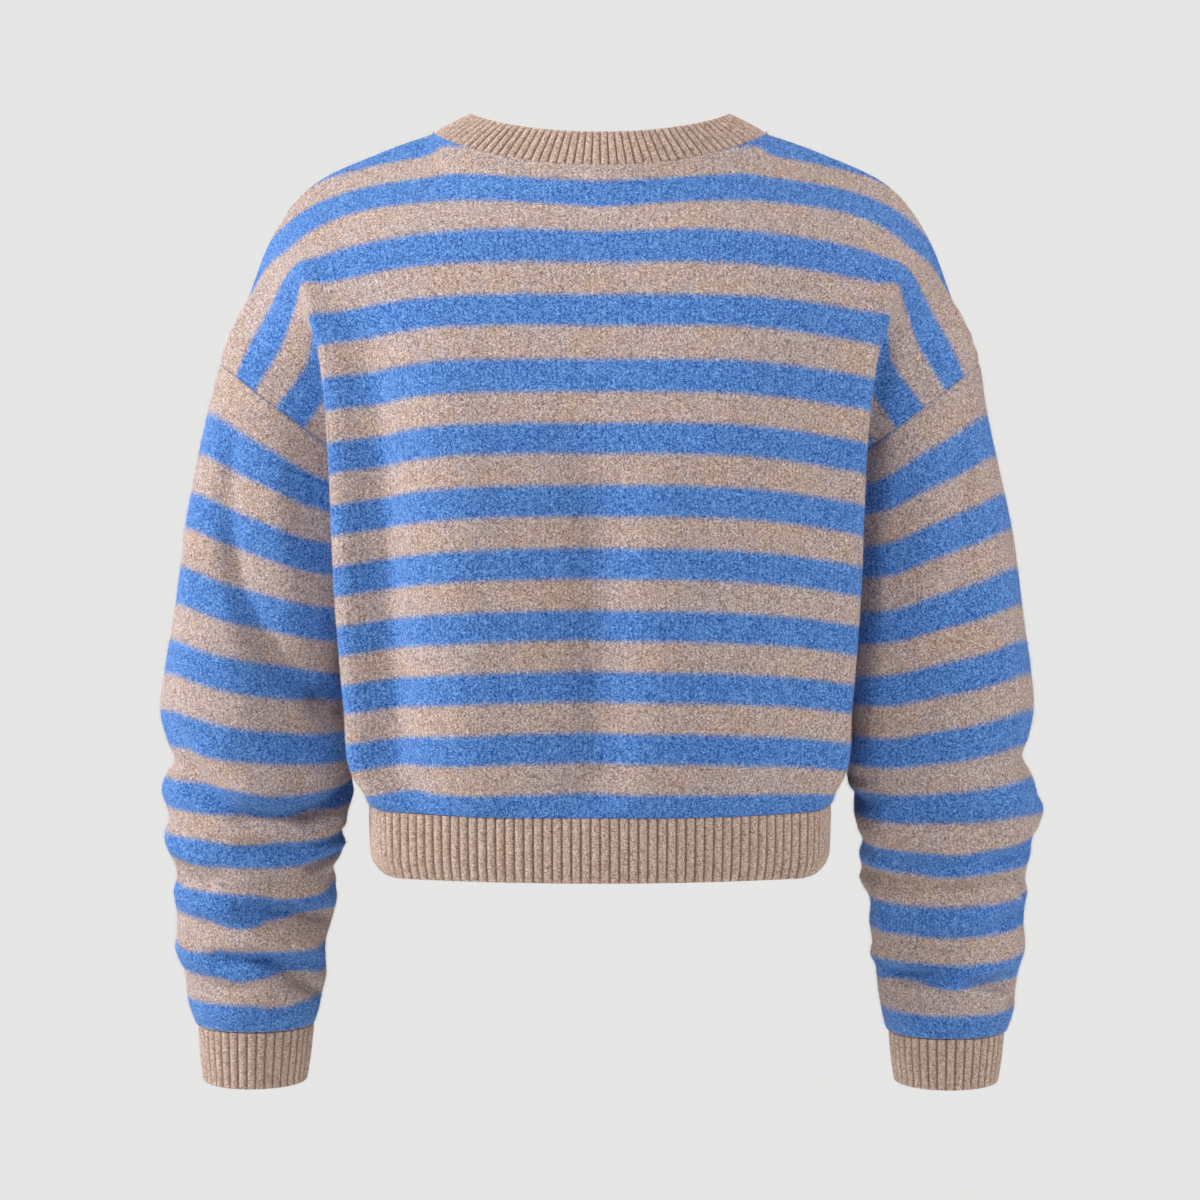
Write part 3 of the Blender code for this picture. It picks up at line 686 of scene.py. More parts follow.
@dataclass
class KnitGrid:
    """The outer face of a knitted piece, in rows from the top down and to the right outside."""

    points: Array
    wale: Array
    stripe: Array
    closed: bool
    facing: Array | None = None

    def normals(self) -> Array:
        """Outward unit normals."""
        return grid_normals(self.points, self.closed) if self.facing is None else self.facing

    def raised(self, height: Array) -> KnitGrid:
        """The same grid, raised along its normals by a height in millimetres."""
        points = self.points + self.normals() * height[..., None]
        return KnitGrid(points, self.wale, self.stripe, self.closed, self.facing)

    def wrapped(self, values: Array) -> Array:
        """Repeats the first column after the last where rows are closed."""
        return np.concatenate([values, values[:, :1]], axis=1) if self.closed else values

    def area(self) -> float:
        """Area in square metres."""
        return float(doubled_areas(self.wrapped(self.points)).sum() / 2 * MM * MM)


@dataclass
class Wall:
    """Turns a knit grid into a closed sheet with a top and a bottom rim.

    Its inside follows the lining, where it has one, and its own outside where it has none.
    """

    grid: KnitGrid
    thickness: float
    top: Rim = Rim.SEWN
    bottom: Rim = Rim.SEWN
    lining: KnitGrid | None = None
    rim_steps: int = 5

    def rim_rows(self, outer: Array, inner: Array, outward: Array) -> list[Array]:
        """Rows round a free edge.

        Args:
            outer: The outer face's last row.
            inner: The inner face's last row.
            outward: Direction out of the cloth at each point of the row.

        Returns:
            Rows from the outer face to the inner one, without either.
        """
        middle, reach = (outer + inner) / 2, (outer - inner) / 2
        rows = []
        for angle in np.linspace(0, np.pi, self.rim_steps + 2)[1:-1]:
            bulge = outward * (self.thickness / 2 * math.sin(angle))
            rows.append(middle + reach * math.cos(angle) + bulge)
        return rows

    def layers(self) -> tuple[Array, Array, int]:
        """Rows of the whole section, out, round the bottom, in and round the top.

        Returns:
            The points, each row's place in the grid, and the count of bottom rim rows.
        """
        outer = self.grid.points
        backed = self.lining or self.grid
        inner = backed.points - backed.normals() * self.thickness
        last = len(outer) - 1
        below: list[Array] = []
        above: list[Array] = []
        if self.bottom is Rim.ROUNDED:
            below = self.rim_rows(outer[-1], inner[-1], unit(outer[-1] - outer[-2]))
        if self.top is Rim.ROUNDED:
            above = self.rim_rows(inner[0], outer[0], unit(outer[0] - outer[1]))
        rows = [*outer, *below, *inner[::-1], *above]
        places = [*range(last + 1), *[last] * len(below), *range(last, -1, -1), *[0] * len(above)]
        return np.array(rows), np.array(places), len(below)

    def quads(self, rows: int, columns: int) -> Array:
        """Corners of the faces round the section, as pairs of row and column."""
        steps = columns if self.grid.closed else columns - 1
        row, column = np.meshgrid(np.arange(rows), np.arange(steps), indexing="ij")
        after = (row + 1) % rows
        corners = [(row, column), (after, column), (after, column + 1), (row, column + 1)]
        return np.stack([np.stack(corner, axis=-1) for corner in corners], axis=2).reshape(-1, 4, 2)

    def side_caps(self, below: int, columns: int) -> list[list[tuple[int, int]]]:
        """Faces that close an open sheet's left and right edges."""
        count, far = len(self.grid.points), columns - 1
        first_in = count + below
        caps = []
        for step in range(count - 1):
            inner, deeper = first_in + count - 1 - step, first_in + count - 2 - step
            caps.append([(inner, 0), (deeper, 0), (step + 1, 0), (step, 0)])
            caps.append([(step, far), (step + 1, far), (deeper, far), (inner, far)])
        if below:
            rim = range(count - 1, first_in + 1)
            caps.append([(row, 0) for row in reversed(rim)])
            caps.append([(row, far) for row in rim])
        return caps

    def make(self, name: str) -> bpy.types.Object:
        """Builds the sheet.

        Args:
            name: Its name.

        Returns:
            The new object, smooth shaded, with its knit map.
        """
        points, places, below = self.layers()
        rows, columns = points.shape[:2]
        corners = self.quads(rows, columns)
        faces = (corners[..., 0] * columns + corners[..., 1] % columns).tolist()
        spots = [corners.reshape(-1, 2)]
        if not self.grid.closed:
            for cap in self.side_caps(below, columns):
                faces.append([row * columns + column for row, column in cap])
                spots.append(np.array(cap))
        spot = np.concatenate(spots)
        row = places[spot[:, 0]]
        wale = self.grid.wale[row, spot[:, 1]]
        stripe = self.grid.stripe[row, spot[:, 1]]
        return new_mesh(name, points.reshape(-1, 3), faces, {KNIT_MAP: np.stack([wale, stripe], 1)})


def new_mesh(name: str, points: Array, faces: Any, maps: dict[str, Array]) -> bpy.types.Object:
    """Makes a smooth-shaded mesh object with UV maps.

    Args:
        name: The object's name.
        points: Its points, in millimetres.
        faces: Point numbers of each face.
        maps: For each UV map, a pair for every face corner.

    Returns:
        The object, linked to the scene.
    """
    mesh = bpy.data.meshes.new(name)
    mesh.from_pydata((points * MM).tolist(), [], faces)
    for map_name, places in maps.items():
        layer = mesh.uv_layers.new(name=map_name, do_init=False)
        layer.uv.foreach_set("vector", places.astype(np.float32).ravel())
    mesh.polygons.foreach_set("use_smooth", np.ones(len(mesh.polygons), dtype=bool))
    mesh.update()
    piece = bpy.data.objects.new(name, mesh)
    bpy.context.scene.collection.objects.link(piece)
    return piece


@dataclass
class BodyPanel:
    """The back or front, from the neck and shoulder seams to the hem rib.

    Its fades are the millimetres over which drapes die away at a seam, its dips and its swell
    a height and a width each.
    """

    name: str
    side: int
    courses: tuple[Course, ...]
    neck_course: float
    neck_power: float
    drapes: tuple[Fold, ...]
    flat: tuple[float, float]
    flat_area: float
    neck_columns: int = 26
    shoulder_columns: int = 64
    upper_rows: int = 52
    lower_rows: int = 54
    edge_step: float = 0.004
    hem_step: float = 0.003
    normal_step: tuple[float, float] = (0.004, 1.0)
    top_fade: float = 26.0
    side_fade: float = 16.0
    hem_fade: float = 22.0
    hem_share: float = 0.3
    seam_dip: tuple[float, float] = (-0.6, 1.8)
    hem_dip: tuple[float, float] = (-0.7, 2.0)
    hem_swell: tuple[float, float] = (0.5, 8.0)
    hem_swell_from: float = 10.0
    keys: Array = field(init=False)
    shares: Array = field(init=False)
    controls: Array = field(init=False)

    def __post_init__(self) -> None:
        """Lays out the courses' points."""
        self.keys = np.array([row.course for row in self.courses], dtype=float)
        self.shares = np.array([LIP_SHARE * step for step in BACK_STEPS] + [FOLD_SHARE, 1.0])
        self.controls = np.array([self.control_points(row) for row in self.courses])

    def control_points(self, row: Course) -> list[Array]:
        """Points of one course, from the middle of the panel to its edge."""
        steps = np.array(BACK_STEPS)
        reach = steps + row.spread * steps * (1 - steps)
        y = row.mid_y + (row.lip_y - row.mid_y) * reach**row.bow
        z = row.mid_z + (row.lip_z - row.mid_z) * reach**row.sag
        z += row.rise * 4 * reach * (1 - reach)
        points = list(np.stack([row.lip_x * reach, y, z], axis=1))
        points.append(np.array((row.fold_x, row.fold_y, row.fold_z), dtype=float))
        points.append(self.edge(np.array([row.course], dtype=float))[0])
        return points

    def edge(self, course: Array) -> Array:
        """Points of the armhole, or of the side seam below it."""
        side = smooth_curve(SIDE_SEAM[:, 0], SIDE_SEAM[:, 1:], np.maximum(course, UNDERARM_COURSE))
        seam = np.stack([side[:, 0], np.full(len(course), SIDE_Y), side[:, 1]], axis=1)
        start = -self.side * (1 - math.cos(SEAM_TURN))
        down = (course - SHOULDER_TIP_COURSE) / (UNDERARM_COURSE - SHOULDER_TIP_COURSE)
        fall = start + (2 - start) * down
        turn = np.copysign(np.arccos(np.clip(1 - np.abs(fall), -1, 1)), fall)
        return np.where((course > UNDERARM_COURSE)[:, None], seam, armhole_points(self.side * turn))

    def neck_turn(self, share: Array) -> Array:
        """Turn round the neck ring, from the shoulder to the middle of the panel."""
        return self.side * np.arccos(np.clip(share / NECK_SHARE, 0, 1))

    def top_course(self, share: Array) -> Array:
        """Course at the top edge, along the neck and then the shoulder seam."""
        rows = np.concatenate([SHOULDER_SEAM[:, [0, 4]], [[1.0, SHOULDER_TIP_COURSE]]])
        shoulder = smooth_curve(rows[:, 0], rows[:, 1], np.maximum(share, NECK_SHARE))
        neck = self.neck_course * np.abs(np.sin(self.neck_turn(share))) ** self.neck_power
        return np.where(share >= NECK_SHARE, shoulder, neck)

    def top_edge(self, share: Array) -> Array:
        """Points of the neck and the shoulder seam."""
        tip = armhole_points(np.array([SEAM_TURN]))[0]
        rows = np.concatenate([SHOULDER_SEAM[:, :4], [[1.0, *tip]]])
        shoulder = smooth_curve(rows[:, 0], rows[:, 1:], np.maximum(share, NECK_SHARE))
        neck = NECK_SEAM.points(self.neck_turn(share))
        return np.where((share >= NECK_SHARE)[:, None], shoulder, neck)

    def edge_fitted(self, share: Array, course: Array) -> Array:
        """The surface through the courses, fitted to the armhole and the side seam."""
        count = np.arange(len(share))

        def through(place: Array) -> Array:
            across = smooth_curve(self.shares, self.controls.transpose(1, 0, 2), place)
            return smooth_curve(self.keys, across.transpose(1, 0, 2), course, count)

        miss = self.edge(course) - through(np.ones_like(share))
        hold = ease((share - LIP_SHARE) / (1 - LIP_SHARE))
        return through(share) + miss * hold[:, None]

    def top_miss(self, share: Array) -> Array:
        """How far the top edge lies from the surface there."""
        held = np.clip(np.abs(share), 0, 1)
        return self.top_edge(held) - self.edge_fitted(held, self.top_course(held))

    def surface(self, share: Array, course: Array) -> Array:
        """Points of the left half, fitted to all its seams.

        Args:
            share: Places across, 0 at the middle and 1 at the edge.
            course: Courses, the same number.

        Returns:
            Points in millimetres.
        """
        depth = np.clip((course - self.top_course(share)) / TOP_FIT_REACH, 0, 1)
        spread = TOP_FIT_SPREAD * depth * (1 - share)
        total = sum(weight for _, weight in TOP_FIT_WEIGHTS)
        misses = [self.top_miss(share + at * spread) * weight for at, weight in TOP_FIT_WEIGHTS]
        miss = sum(misses) / total
        return self.edge_fitted(share, course) + miss * ((1 - depth) ** TOP_FIT_POWER)[:, None]

    def column_shares(self) -> Array:
        """Places of a half's columns, from the middle to the edge."""
        turn = np.pi / 2 * (1 - np.arange(self.neck_columns) / self.neck_columns)
        shoulder = edge_spaced(self.shoulder_columns, self.edge_step)
        return np.concatenate([NECK_SHARE * np.cos(turn), NECK_SHARE + (1 - NECK_SHARE) * shoulder])

    def row_courses(self, top: Array) -> Array:
        """Courses of every row, for columns whose tops lie at the given courses."""
        upper = edge_spaced(self.upper_rows, self.edge_step)[:, None]
        lower = edge_spaced(self.lower_rows, self.hem_step)[1:, None]
        above = top + (UNDERARM_COURSE - top) * upper
        below = UNDERARM_COURSE + (HEM_COURSE - UNDERARM_COURSE) * lower
        return np.concatenate([above, np.repeat(below, len(top), axis=1)])

    def relief(self, place: Array, course: Array, top: Array) -> Array:
        """Height of the drapes and the seams' dips.

        Args:
            place: Signed places across, the wearer's left above 0.
            course: Courses.
            top: The course of each column's top edge.

        Returns:
            Heights in millimetres.
        """
        height = np.zeros_like(course)
        for fold in self.drapes:
            middle, side = fold.middle()
            across = (place - side) * HALF_PANEL_WIDTH
            height += fold.heights(course - middle, across, (1.0, HALF_PANEL_WIDTH))
        from_top, from_hem = course - top, HEM_COURSE - course
        from_side = (1 - np.abs(place)) * HALF_PANEL_WIDTH
        height *= ease(from_top / self.top_fade) * ease(from_side / self.side_fade)
        height *= ease(self.hem_share + from_hem / self.hem_fade)
        height += seam_bump(from_top, *self.seam_dip) + seam_bump(from_side, *self.seam_dip)
        height += seam_bump(from_hem, *self.hem_dip)
        return height + seam_bump(from_hem - self.hem_swell_from, *self.hem_swell)

    def signed_surface(self, place: Array, course: Array) -> Array:
        """Points of either half; the wearer's right has places below 0."""
        share = np.clip(np.abs(place), 0, 1)
        points = self.surface(share.ravel(), course.ravel()).reshape(*course.shape, 3)
        points[..., 0] *= np.where(place < 0, -1, 1)
        return points

    def facing(self, place: Array, course: Array) -> Array:
        """Outward unit normals of the surface itself, which hold where grid cells are thin."""
        wide, tall = self.normal_step
        at = self.signed_surface
        across = at(place + wide, course) - at(place - wide, course)
        down = at(place, course + tall) - at(place, course - tall)
        return unit(np.cross(across, down)) * self.side

    def stripes(self, place: Array, course: Array) -> Array:
        """Stripe at each place, counted from the course at the neck points."""
        share = np.abs(place).ravel()
        across = smooth_curve(LEAD_SHARES, STRIPE_LEADS.T, share)
        lead = smooth_curve(LEAD_COURSES, across.T, course.ravel(), np.arange(len(share)))
        return (course + lead.reshape(course.shape)) / BAND + 1

    def grid(self) -> KnitGrid:
        """The panel's outer face."""
        half = self.column_shares()
        place = np.concatenate([-half[:0:-1], half])
        if self.side > 0:
            place = place[::-1]
        top = self.top_course(np.abs(place))
        course = self.row_courses(top)
        places = np.broadcast_to(place, course.shape)
        plain = KnitGrid(
            self.signed_surface(places, course),
            places * WALES_PER_HALF,
            self.stripes(places, course),
            closed=False,
            facing=self.facing(places, course),
        )
        return plain.raised(self.relief(places, course, top))

    def build(self) -> tuple[bpy.types.Object, KnitGrid]:
        """Builds the panel.

        Returns:
            The sheet and its outer face.
        """
        grid = self.grid()
        return Wall(grid, CLOTH).make(self.name), grid


@dataclass
class Sleeve:
    """A sleeve from the armhole to the cuff, with the folds that the arm's slack makes.

    Fades and the widths of the dips are in stripes, as its folds die away towards both seams.
    """

    name: str
    mirror: int
    sways: tuple[Sway, ...]
    folds: tuple[Fold, ...]
    lags: tuple[Fold, ...]
    flat: tuple[float, float]
    flat_area: float
    columns: int = 126
    rows: int = 184
    end_step: float = 0.0022
    fades: tuple[float, float] = (0.8, 0.5)
    top_dip: tuple[float, float] = (-0.6, 0.08)
    cuff_dip: tuple[float, float] = (-0.5, 0.09)
    side_power: float = 1.3

    def ring_values(self, stripe: Array) -> Array:
        """Reads x, y, z, half width, half depth, slope and pitch at each stripe."""
        keys = np.array([ring.stripe for ring in SLEEVE_RINGS], dtype=float)
        table = np.array([ring.values() for ring in SLEEVE_RINGS], dtype=float)
        return smooth_curve(keys, table, stripe)

    def sway_values(self, stripe: Array) -> Array:
        """Reads out, down, outer, inner and late at each stripe."""
        keys = np.array([sway.stripe for sway in self.sways], dtype=float)
        table = np.array([sway.values() for sway in self.sways], dtype=float)
        return smooth_curve(keys, table, stripe)

    def summed(self, folds: tuple[Fold, ...], stripe: Array, turn: Array) -> Array:
        """Adds up folds, whose ends are stripes and turns in degrees."""
        total = np.zeros_like(stripe)
        around = SLEEVE_RADIUS * math.radians(1)
        for fold in folds:
            middle, side = fold.middle()
            gap = (turn - math.radians(side) + np.pi) % (2 * np.pi) - np.pi
            steps = (SLEEVE_BAND, around)
            total += fold.heights((stripe - middle) * SLEEVE_BAND, gap * SLEEVE_RADIUS, steps)
        return total

    def heights(self, stripe: Array, turn: Array, sway: Array) -> Array:
        """Height of the folds and the seam dips, in millimetres."""
        last = SLEEVE_RINGS[-1].stripe
        hold = ease(stripe / self.fades[0]) * ease((last - stripe) / self.fades[1])
        total = self.summed(self.folds, stripe, turn) * hold
        facing_out = np.cos(turn)
        total += sway[:, 2:3] * np.clip(facing_out, 0, 1) ** self.side_power
        total += sway[:, 3:4] * np.clip(-facing_out, 0, 1) ** self.side_power
        return total + seam_bump(stripe, *self.top_dip) + seam_bump(last - stripe, *self.cuff_dip)

    def grid(self) -> KnitGrid:
        """The sleeve's outer face."""
        stripe = SLEEVE_RINGS[-1].stripe * edge_spaced(self.rows, self.end_step)
        column = np.arange(self.columns + 1)
        values, sway = self.ring_values(stripe), self.sway_values(stripe)
        values[:, 0] += sway[:, 0]
        values[:, 2] -= sway[:, 1]
        turn = self.mirror * 2 * np.pi * column / self.columns
        centre, sizes, tilts = values[:, None, :3], values[:, 3:5], np.radians(values[:, 5:])
        stripes, turns = np.meshgrid(stripe, turn, indexing="ij")
        height = self.heights(stripes, turns, sway)[:, :-1]
        points = ring_points(centre, sizes, tilts, turns[:, :-1], height)
        points[..., 0] *= self.mirror
        wale = np.broadcast_to(column * SLEEVE_WALES / self.columns, stripes.shape)
        late = sway[:, 4:5] + self.summed(self.lags, stripes, turns)
        return KnitGrid(points, wale, stripes - late, closed=True)

    def build(self) -> tuple[bpy.types.Object, KnitGrid]:
        """Builds the sleeve.

        Returns:
            The sheet and its outer face.
        """
        grid = self.grid()
        return Wall(grid, CLOTH).make(self.name), grid


def ring_points(centre: Array, sizes: Array, tilts: Array, turns: Array, height: Array) -> Array:
    """Points of tilted rings on the wearer's left.

    Args:
        centre: Middle of each ring.
        sizes: Half width and half depth of each ring.
        tilts: Slope and pitch of each ring, in radians.
        turns: Turns round the rings, 0 on the outer side and a quarter turn at the back.
        height: How far each point stands proud.

    Returns:
        Points in millimetres, a row for each ring.
    """
    slope, pitch = tilts[:, 0], tilts[:, 1]
    flat = np.zeros_like(slope)
    across = np.stack([np.cos(slope), flat, np.sin(slope)], axis=1)
    deep = np.stack([flat, np.cos(pitch), -np.sin(pitch)], axis=1)
    deep = unit(deep - across * (deep * across).sum(axis=1, keepdims=True))
    out = (sizes[:, :1] + height) * np.cos(turns)
    back = (sizes[:, 1:] + height) * np.sin(turns)
    return centre + across[:, None] * out[..., None] + deep[:, None] * back[..., None]


def rib_wave(place: Array, groove: float) -> Array:
    """Height of a rib's section from 0 in the groove to 1 on the ridge.

    Args:
        place: Places counted in ribs.
        groove: Share of a rib that its groove takes on each side.

    Returns:
        Heights from 0 to 1.
    """
    from_groove = 0.5 - np.abs(place % 1 - 0.5)
    side = np.sin(np.pi / 2 * np.clip(from_groove / groove, 0, 1)) ** RIB_POWER
    return side * (1 - RIB_CROWN * (1 - np.cos(2 * np.pi * (place % 1 - 0.5))))


def even_places(curve: Array, parameters: Array, shares: Array) -> Array:
    """Parameters at which a curve has the given shares of its length.

    Args:
        curve: Closely spaced points of the curve.
        parameters: The parameter at each point.
        shares: Shares of the length.

    Returns:
        Parameters.
    """
    lengths = np.concatenate([[0.0], np.cumsum(np.linalg.norm(np.diff(curve, axis=0), axis=1))])
    return np.interp(shares * lengths[-1], lengths, parameters)


@dataclass
class RibBand:
    """A stretch of ribbing: sizes and steps that the neckband, hem rib and cuffs share.

    Its two reliefs are the shares of the ribs' height that are left at the free edge and at the
    seam, and fade is the distance over which they grow to the whole.
    """

    name: str
    ribs: int
    flat: tuple[float, float]
    flat_area: float | None = None
    height: float = 1.6
    groove: float = 0.27
    columns_per_rib: int = 7
    rows: int = 11
    fade: float = 3.0
    edge_relief: float = 0.2
    seam_relief: float = 0.85
    swell: float = 0.5
    seam_dip: tuple[float, float] = (-0.2, 1.6)
    samples: int = 1200
    free_end: float = 1.0
    closed: bool = True

    def places(self) -> Array:
        """Places of the columns, counted in ribs, the last one included."""
        return np.arange(self.ribs * self.columns_per_rib + 1) / self.columns_per_rib

    def row_shares(self) -> Array:
        """Places of the rows, 0 at the top and 1 at the bottom, finer towards both ends."""
        return 0.5 - 0.5 * np.cos(np.pi * np.arange(self.rows + 1) / self.rows)

    def outline(self, share: Array) -> Array:
        """Points of the plain band under its ribs.

        Args:
            share: Places of the rows, as a column.

        Returns:
            Points in millimetres, a row for each share.
        """
        raise NotImplementedError

    def plain(self) -> KnitGrid:
        """The band's outer face without its ribs."""
        share = self.row_shares()[:, None]
        points = self.outline(share)
        place = np.broadcast_to(self.places(), (len(share), len(self.places())))
        tall = np.linalg.norm(points[0] - points[-1], axis=-1).mean()
        rows = np.broadcast_to(share * tall / RIB_ROW, place.shape)
        return KnitGrid(points, place, rows, self.closed)

    def section(self, plain: KnitGrid) -> Array:
        """Height of the ribs, which level out just short of the free edge, in millimetres."""
        place = plain.wale[:, : plain.points.shape[1]]
        tall = float(np.linalg.norm(plain.points[0] - plain.points[-1], axis=-1).mean())
        share = self.row_shares()[:, None]
        from_free = np.abs(share - self.free_end) * tall
        from_seam = np.abs(share - (1 - self.free_end)) * tall
        depth = 1 - (1 - self.edge_relief) * (1 - ease(from_free / self.fade))
        depth *= 1 - (1 - self.seam_relief) * (1 - ease(from_seam / self.fade))
        ribs = self.height * (rib_wave(place, self.groove) - 1) * depth
        return ribs + self.swell * np.sin(np.pi * share) + seam_bump(from_seam, *self.seam_dip)

    def build(self) -> tuple[bpy.types.Object, KnitGrid]:
        """Builds the band.

        Returns:
            The sheet and its outer face.
        """
        plain = self.plain()
        grid = plain.raised(self.section(plain))
        top, bottom = (Rim.SEWN, Rim.ROUNDED) if self.free_end else (Rim.ROUNDED, Rim.SEWN)
        return Wall(grid, RIB_CLOTH, top, bottom, lining=plain).make(self.name), grid


@dataclass
class Neckband(RibBand):
    """The ribbed neckband, whose ribs fan out from its top edge to the seam."""

    back_ribs: int = 48
    free_end: float = 0.0

    def turns(self, ring: NeckRing) -> Array:
        """Turns of the columns, spaced evenly along the back and along the front."""
        place = self.places()[:-1]
        found = []
        for start, first, last in ((0.0, 0, self.back_ribs), (np.pi, self.back_ribs, self.ribs)):
            parameters = np.linspace(start, start + np.pi, self.samples)
            shares = (place[(place >= first) & (place < last)] - first) / (last - first)
            found.append(even_places(ring.points(parameters), parameters, shares))
        return np.concatenate(found)

    def outline(self, share: Array) -> Array:
        """Points of the plain band, from the top edge down to the seam."""
        low, high = (ring.points(self.turns(ring)) for ring in (NECK_SEAM, NECK_TOP))
        high = high - unit(high - low) * (RIB_CLOTH / 2)
        return high + (low - high) * share[..., None]


@dataclass
class HemRib(RibBand):
    """The hem rib under one panel."""

    panel: BodyPanel | None = None
    bottom_z: float = -504.5
    draw_in: float = 2.0
    corner: float = 8.0
    corner_from: float = 0.7
    closed: bool = False

    def edge(self) -> Array:
        """Points of the panel's hem, evenly spaced along it, to the right seen from outside."""
        parameters = np.linspace(1, -1, self.samples) * self.panel.side
        curve = self.panel.signed_surface(parameters, np.full(self.samples, HEM_COURSE))
        count = np.arange(self.samples, dtype=float)
        place = even_places(curve, count, self.places() / self.ribs)
        return np.stack([np.interp(place, count, curve[:, axis]) for axis in range(3)], axis=1)

    def outline(self, share: Array) -> Array:
        """Points of the plain rib, from the hem seam down."""
        high = self.edge()
        along = np.gradient(high, axis=0)
        outward = unit(np.stack([along[:, 1], -along[:, 0], np.zeros(len(high))], axis=1))
        low = high - outward * self.draw_in
        low[:, 2] = self.bottom_z + RIB_CLOTH / 2
        down = share[..., None]
        rounded = np.clip((down - self.corner_from) / (1 - self.corner_from), 0, 1) ** 2
        turned = outward * np.abs(outward[:, :1]) * (self.corner * rounded)
        return high + (low - high) * down - turned


@dataclass
class Cuff(RibBand):
    """A ribbed cuff."""

    mirror: int = 1
    rings: tuple[SleeveRing, SleeveRing] = LEFT_CUFF

    def outline(self, share: Array) -> Array:
        """Points of the plain cuff, from the sleeve down."""
        top, bottom = self.rings
        first, last = (np.array(ring.values()) for ring in self.rings)
        short = 1 - RIB_CLOTH / 2 / (top.z - bottom.z)
        values = first + (last - first) * share * short
        turn = self.mirror * 2 * np.pi * self.places()[:-1] / self.ribs
        turns = np.broadcast_to(turn, (len(share), len(turn)))
        centre, sizes, tilts = values[:, None, :3], values[:, 3:5], np.radians(values[:, 5:])
        points = ring_points(centre, sizes, tilts, turns, np.zeros_like(turns))
        points[..., 0] *= self.mirror
        return points


@dataclass
class Nap:
    """Short fibres that stand on the outside of a knitted piece, each a thin blade.

    Tilts are in degrees from the cloth's normal.  Widths and longest are shares of the width and
    length, and spread is that of the lengths.
    """

    name: str
    fibres: int
    seed: int
    length: float = 2.3
    width: float = 0.2
    sunk: float = 0.3
    softness: float = 0.8
    tilts: tuple[float, float] = (30.0, 78.0)
    widths: tuple[float, float] = (0.7, 1.2)
    spread: float = 0.32
    longest: float = 2.2

    def sown(self, grid: KnitGrid, random: np.random.Generator) -> tuple[Array, ...]:
        """Picks the fibres' roots.

        Args:
            grid: The face that they stand on.
            random: The source of chance.

        Returns:
            Roots, normals, two directions along the face, and the wale and stripe of each.
        """
        points, normals = grid.wrapped(grid.points), grid.wrapped(grid.normals())
        totals = np.cumsum(doubled_areas(points).ravel())
        cell = np.searchsorted(totals, random.random(self.fibres) * totals[-1])
        row, column = np.divmod(cell, points.shape[1] - 1)
        down, across = random.random((2, self.fibres))

        def at(values: Array) -> Array:
            d, a = (down, across) if values.ndim == 2 else (down[:, None], across[:, None])
            upper = values[row, column] * (1 - a) + values[row, column + 1] * a
            lower = values[row + 1, column] * (1 - a) + values[row + 1, column + 1] * a
            return upper * (1 - d) + lower * d

        normal = unit(at(normals))
        falling = unit(points[row + 1, column] - points[row, column])
        sideways = np.cross(normal, falling)
        return at(points), normal, falling, sideways, at(grid.wale), at(grid.stripe)

    def grow(self, grid: KnitGrid) -> bpy.types.Object:
        """Grows the fibres.

        Args:
            grid: The face that they stand on.

        Returns:
            The nap, one piece with the knit map of its roots and a bake map.
        """
        random = np.random.default_rng(self.seed)
        root, normal, falling, sideways, wale, stripe = self.sown(grid, random)
        heading = random.random(self.fibres) * 2 * np.pi
        tilt = np.radians(random.uniform(*self.tilts, self.fibres))
        lying = falling * np.cos(heading)[:, None] + sideways * np.sin(heading)[:, None]
        grain = unit(normal * np.cos(tilt)[:, None] + lying * np.sin(tilt)[:, None])
        side = unit(np.cross(grain, normal))
        length = self.length * random.lognormal(0.0, self.spread, self.fibres)
        half = self.width / 2 * random.uniform(*self.widths, self.fibres)
        foot = root - normal * self.sunk
        tip = foot + grain * np.minimum(length, self.longest * self.length)[:, None]
        aside = side * half[:, None]
        corners = np.stack([foot - aside, foot + aside, tip], axis=1)
        faces = np.arange(self.fibres * 3).reshape(-1, 3).tolist()
        knit = np.repeat(np.stack([wale, stripe], axis=1), 3, axis=0)
        cells = math.ceil(math.sqrt(self.fibres))
        cell = np.stack(np.divmod(np.arange(self.fibres), cells), axis=1)[:, None]
        baked = ((cell + BAKED_FIBRE) / cells).reshape(-1, 2)
        made = new_mesh(self.name, corners.reshape(-1, 3), faces, {KNIT_MAP: knit, BAKE_MAP: baked})
        # The fibres take the light as the cloth under them does, so that its folds show through
        lit = unit(normal * self.softness + np.cross(side, grain) * (1 - self.softness))
        made.data.normals_split_custom_set(np.repeat(lit, 3, axis=0).tolist())
        return made


Colour = tuple[float, float, float]
Place = tuple[float, float, float]
Value = Union["Channel", float]

FULL_TURN = 2 * math.pi


def linear(red: float, green: float, blue: float) -> Colour:
    """Turns display values from 0 to 255 into a linear colour."""

    def one(value: float) -> float:
        share = value / 255
        return share / 12.92 if share <= 0.04045 else ((share + 0.055) / 1.055) ** 2.4

    return one(red), one(green), one(blue)


@dataclass(frozen=True)
class Grain:
    """One size of random detail in a finish, with its scale in features to the metre.

    Where it is used as a pattern of two tones, low and high are the noise at which they end.
    """

    scale: float
    detail: float = 2.0
    rough: float = 0.5
    twist: float = 0.0
    low: float = 0.0
    high: float = 1.0
    weight: float = 1.0


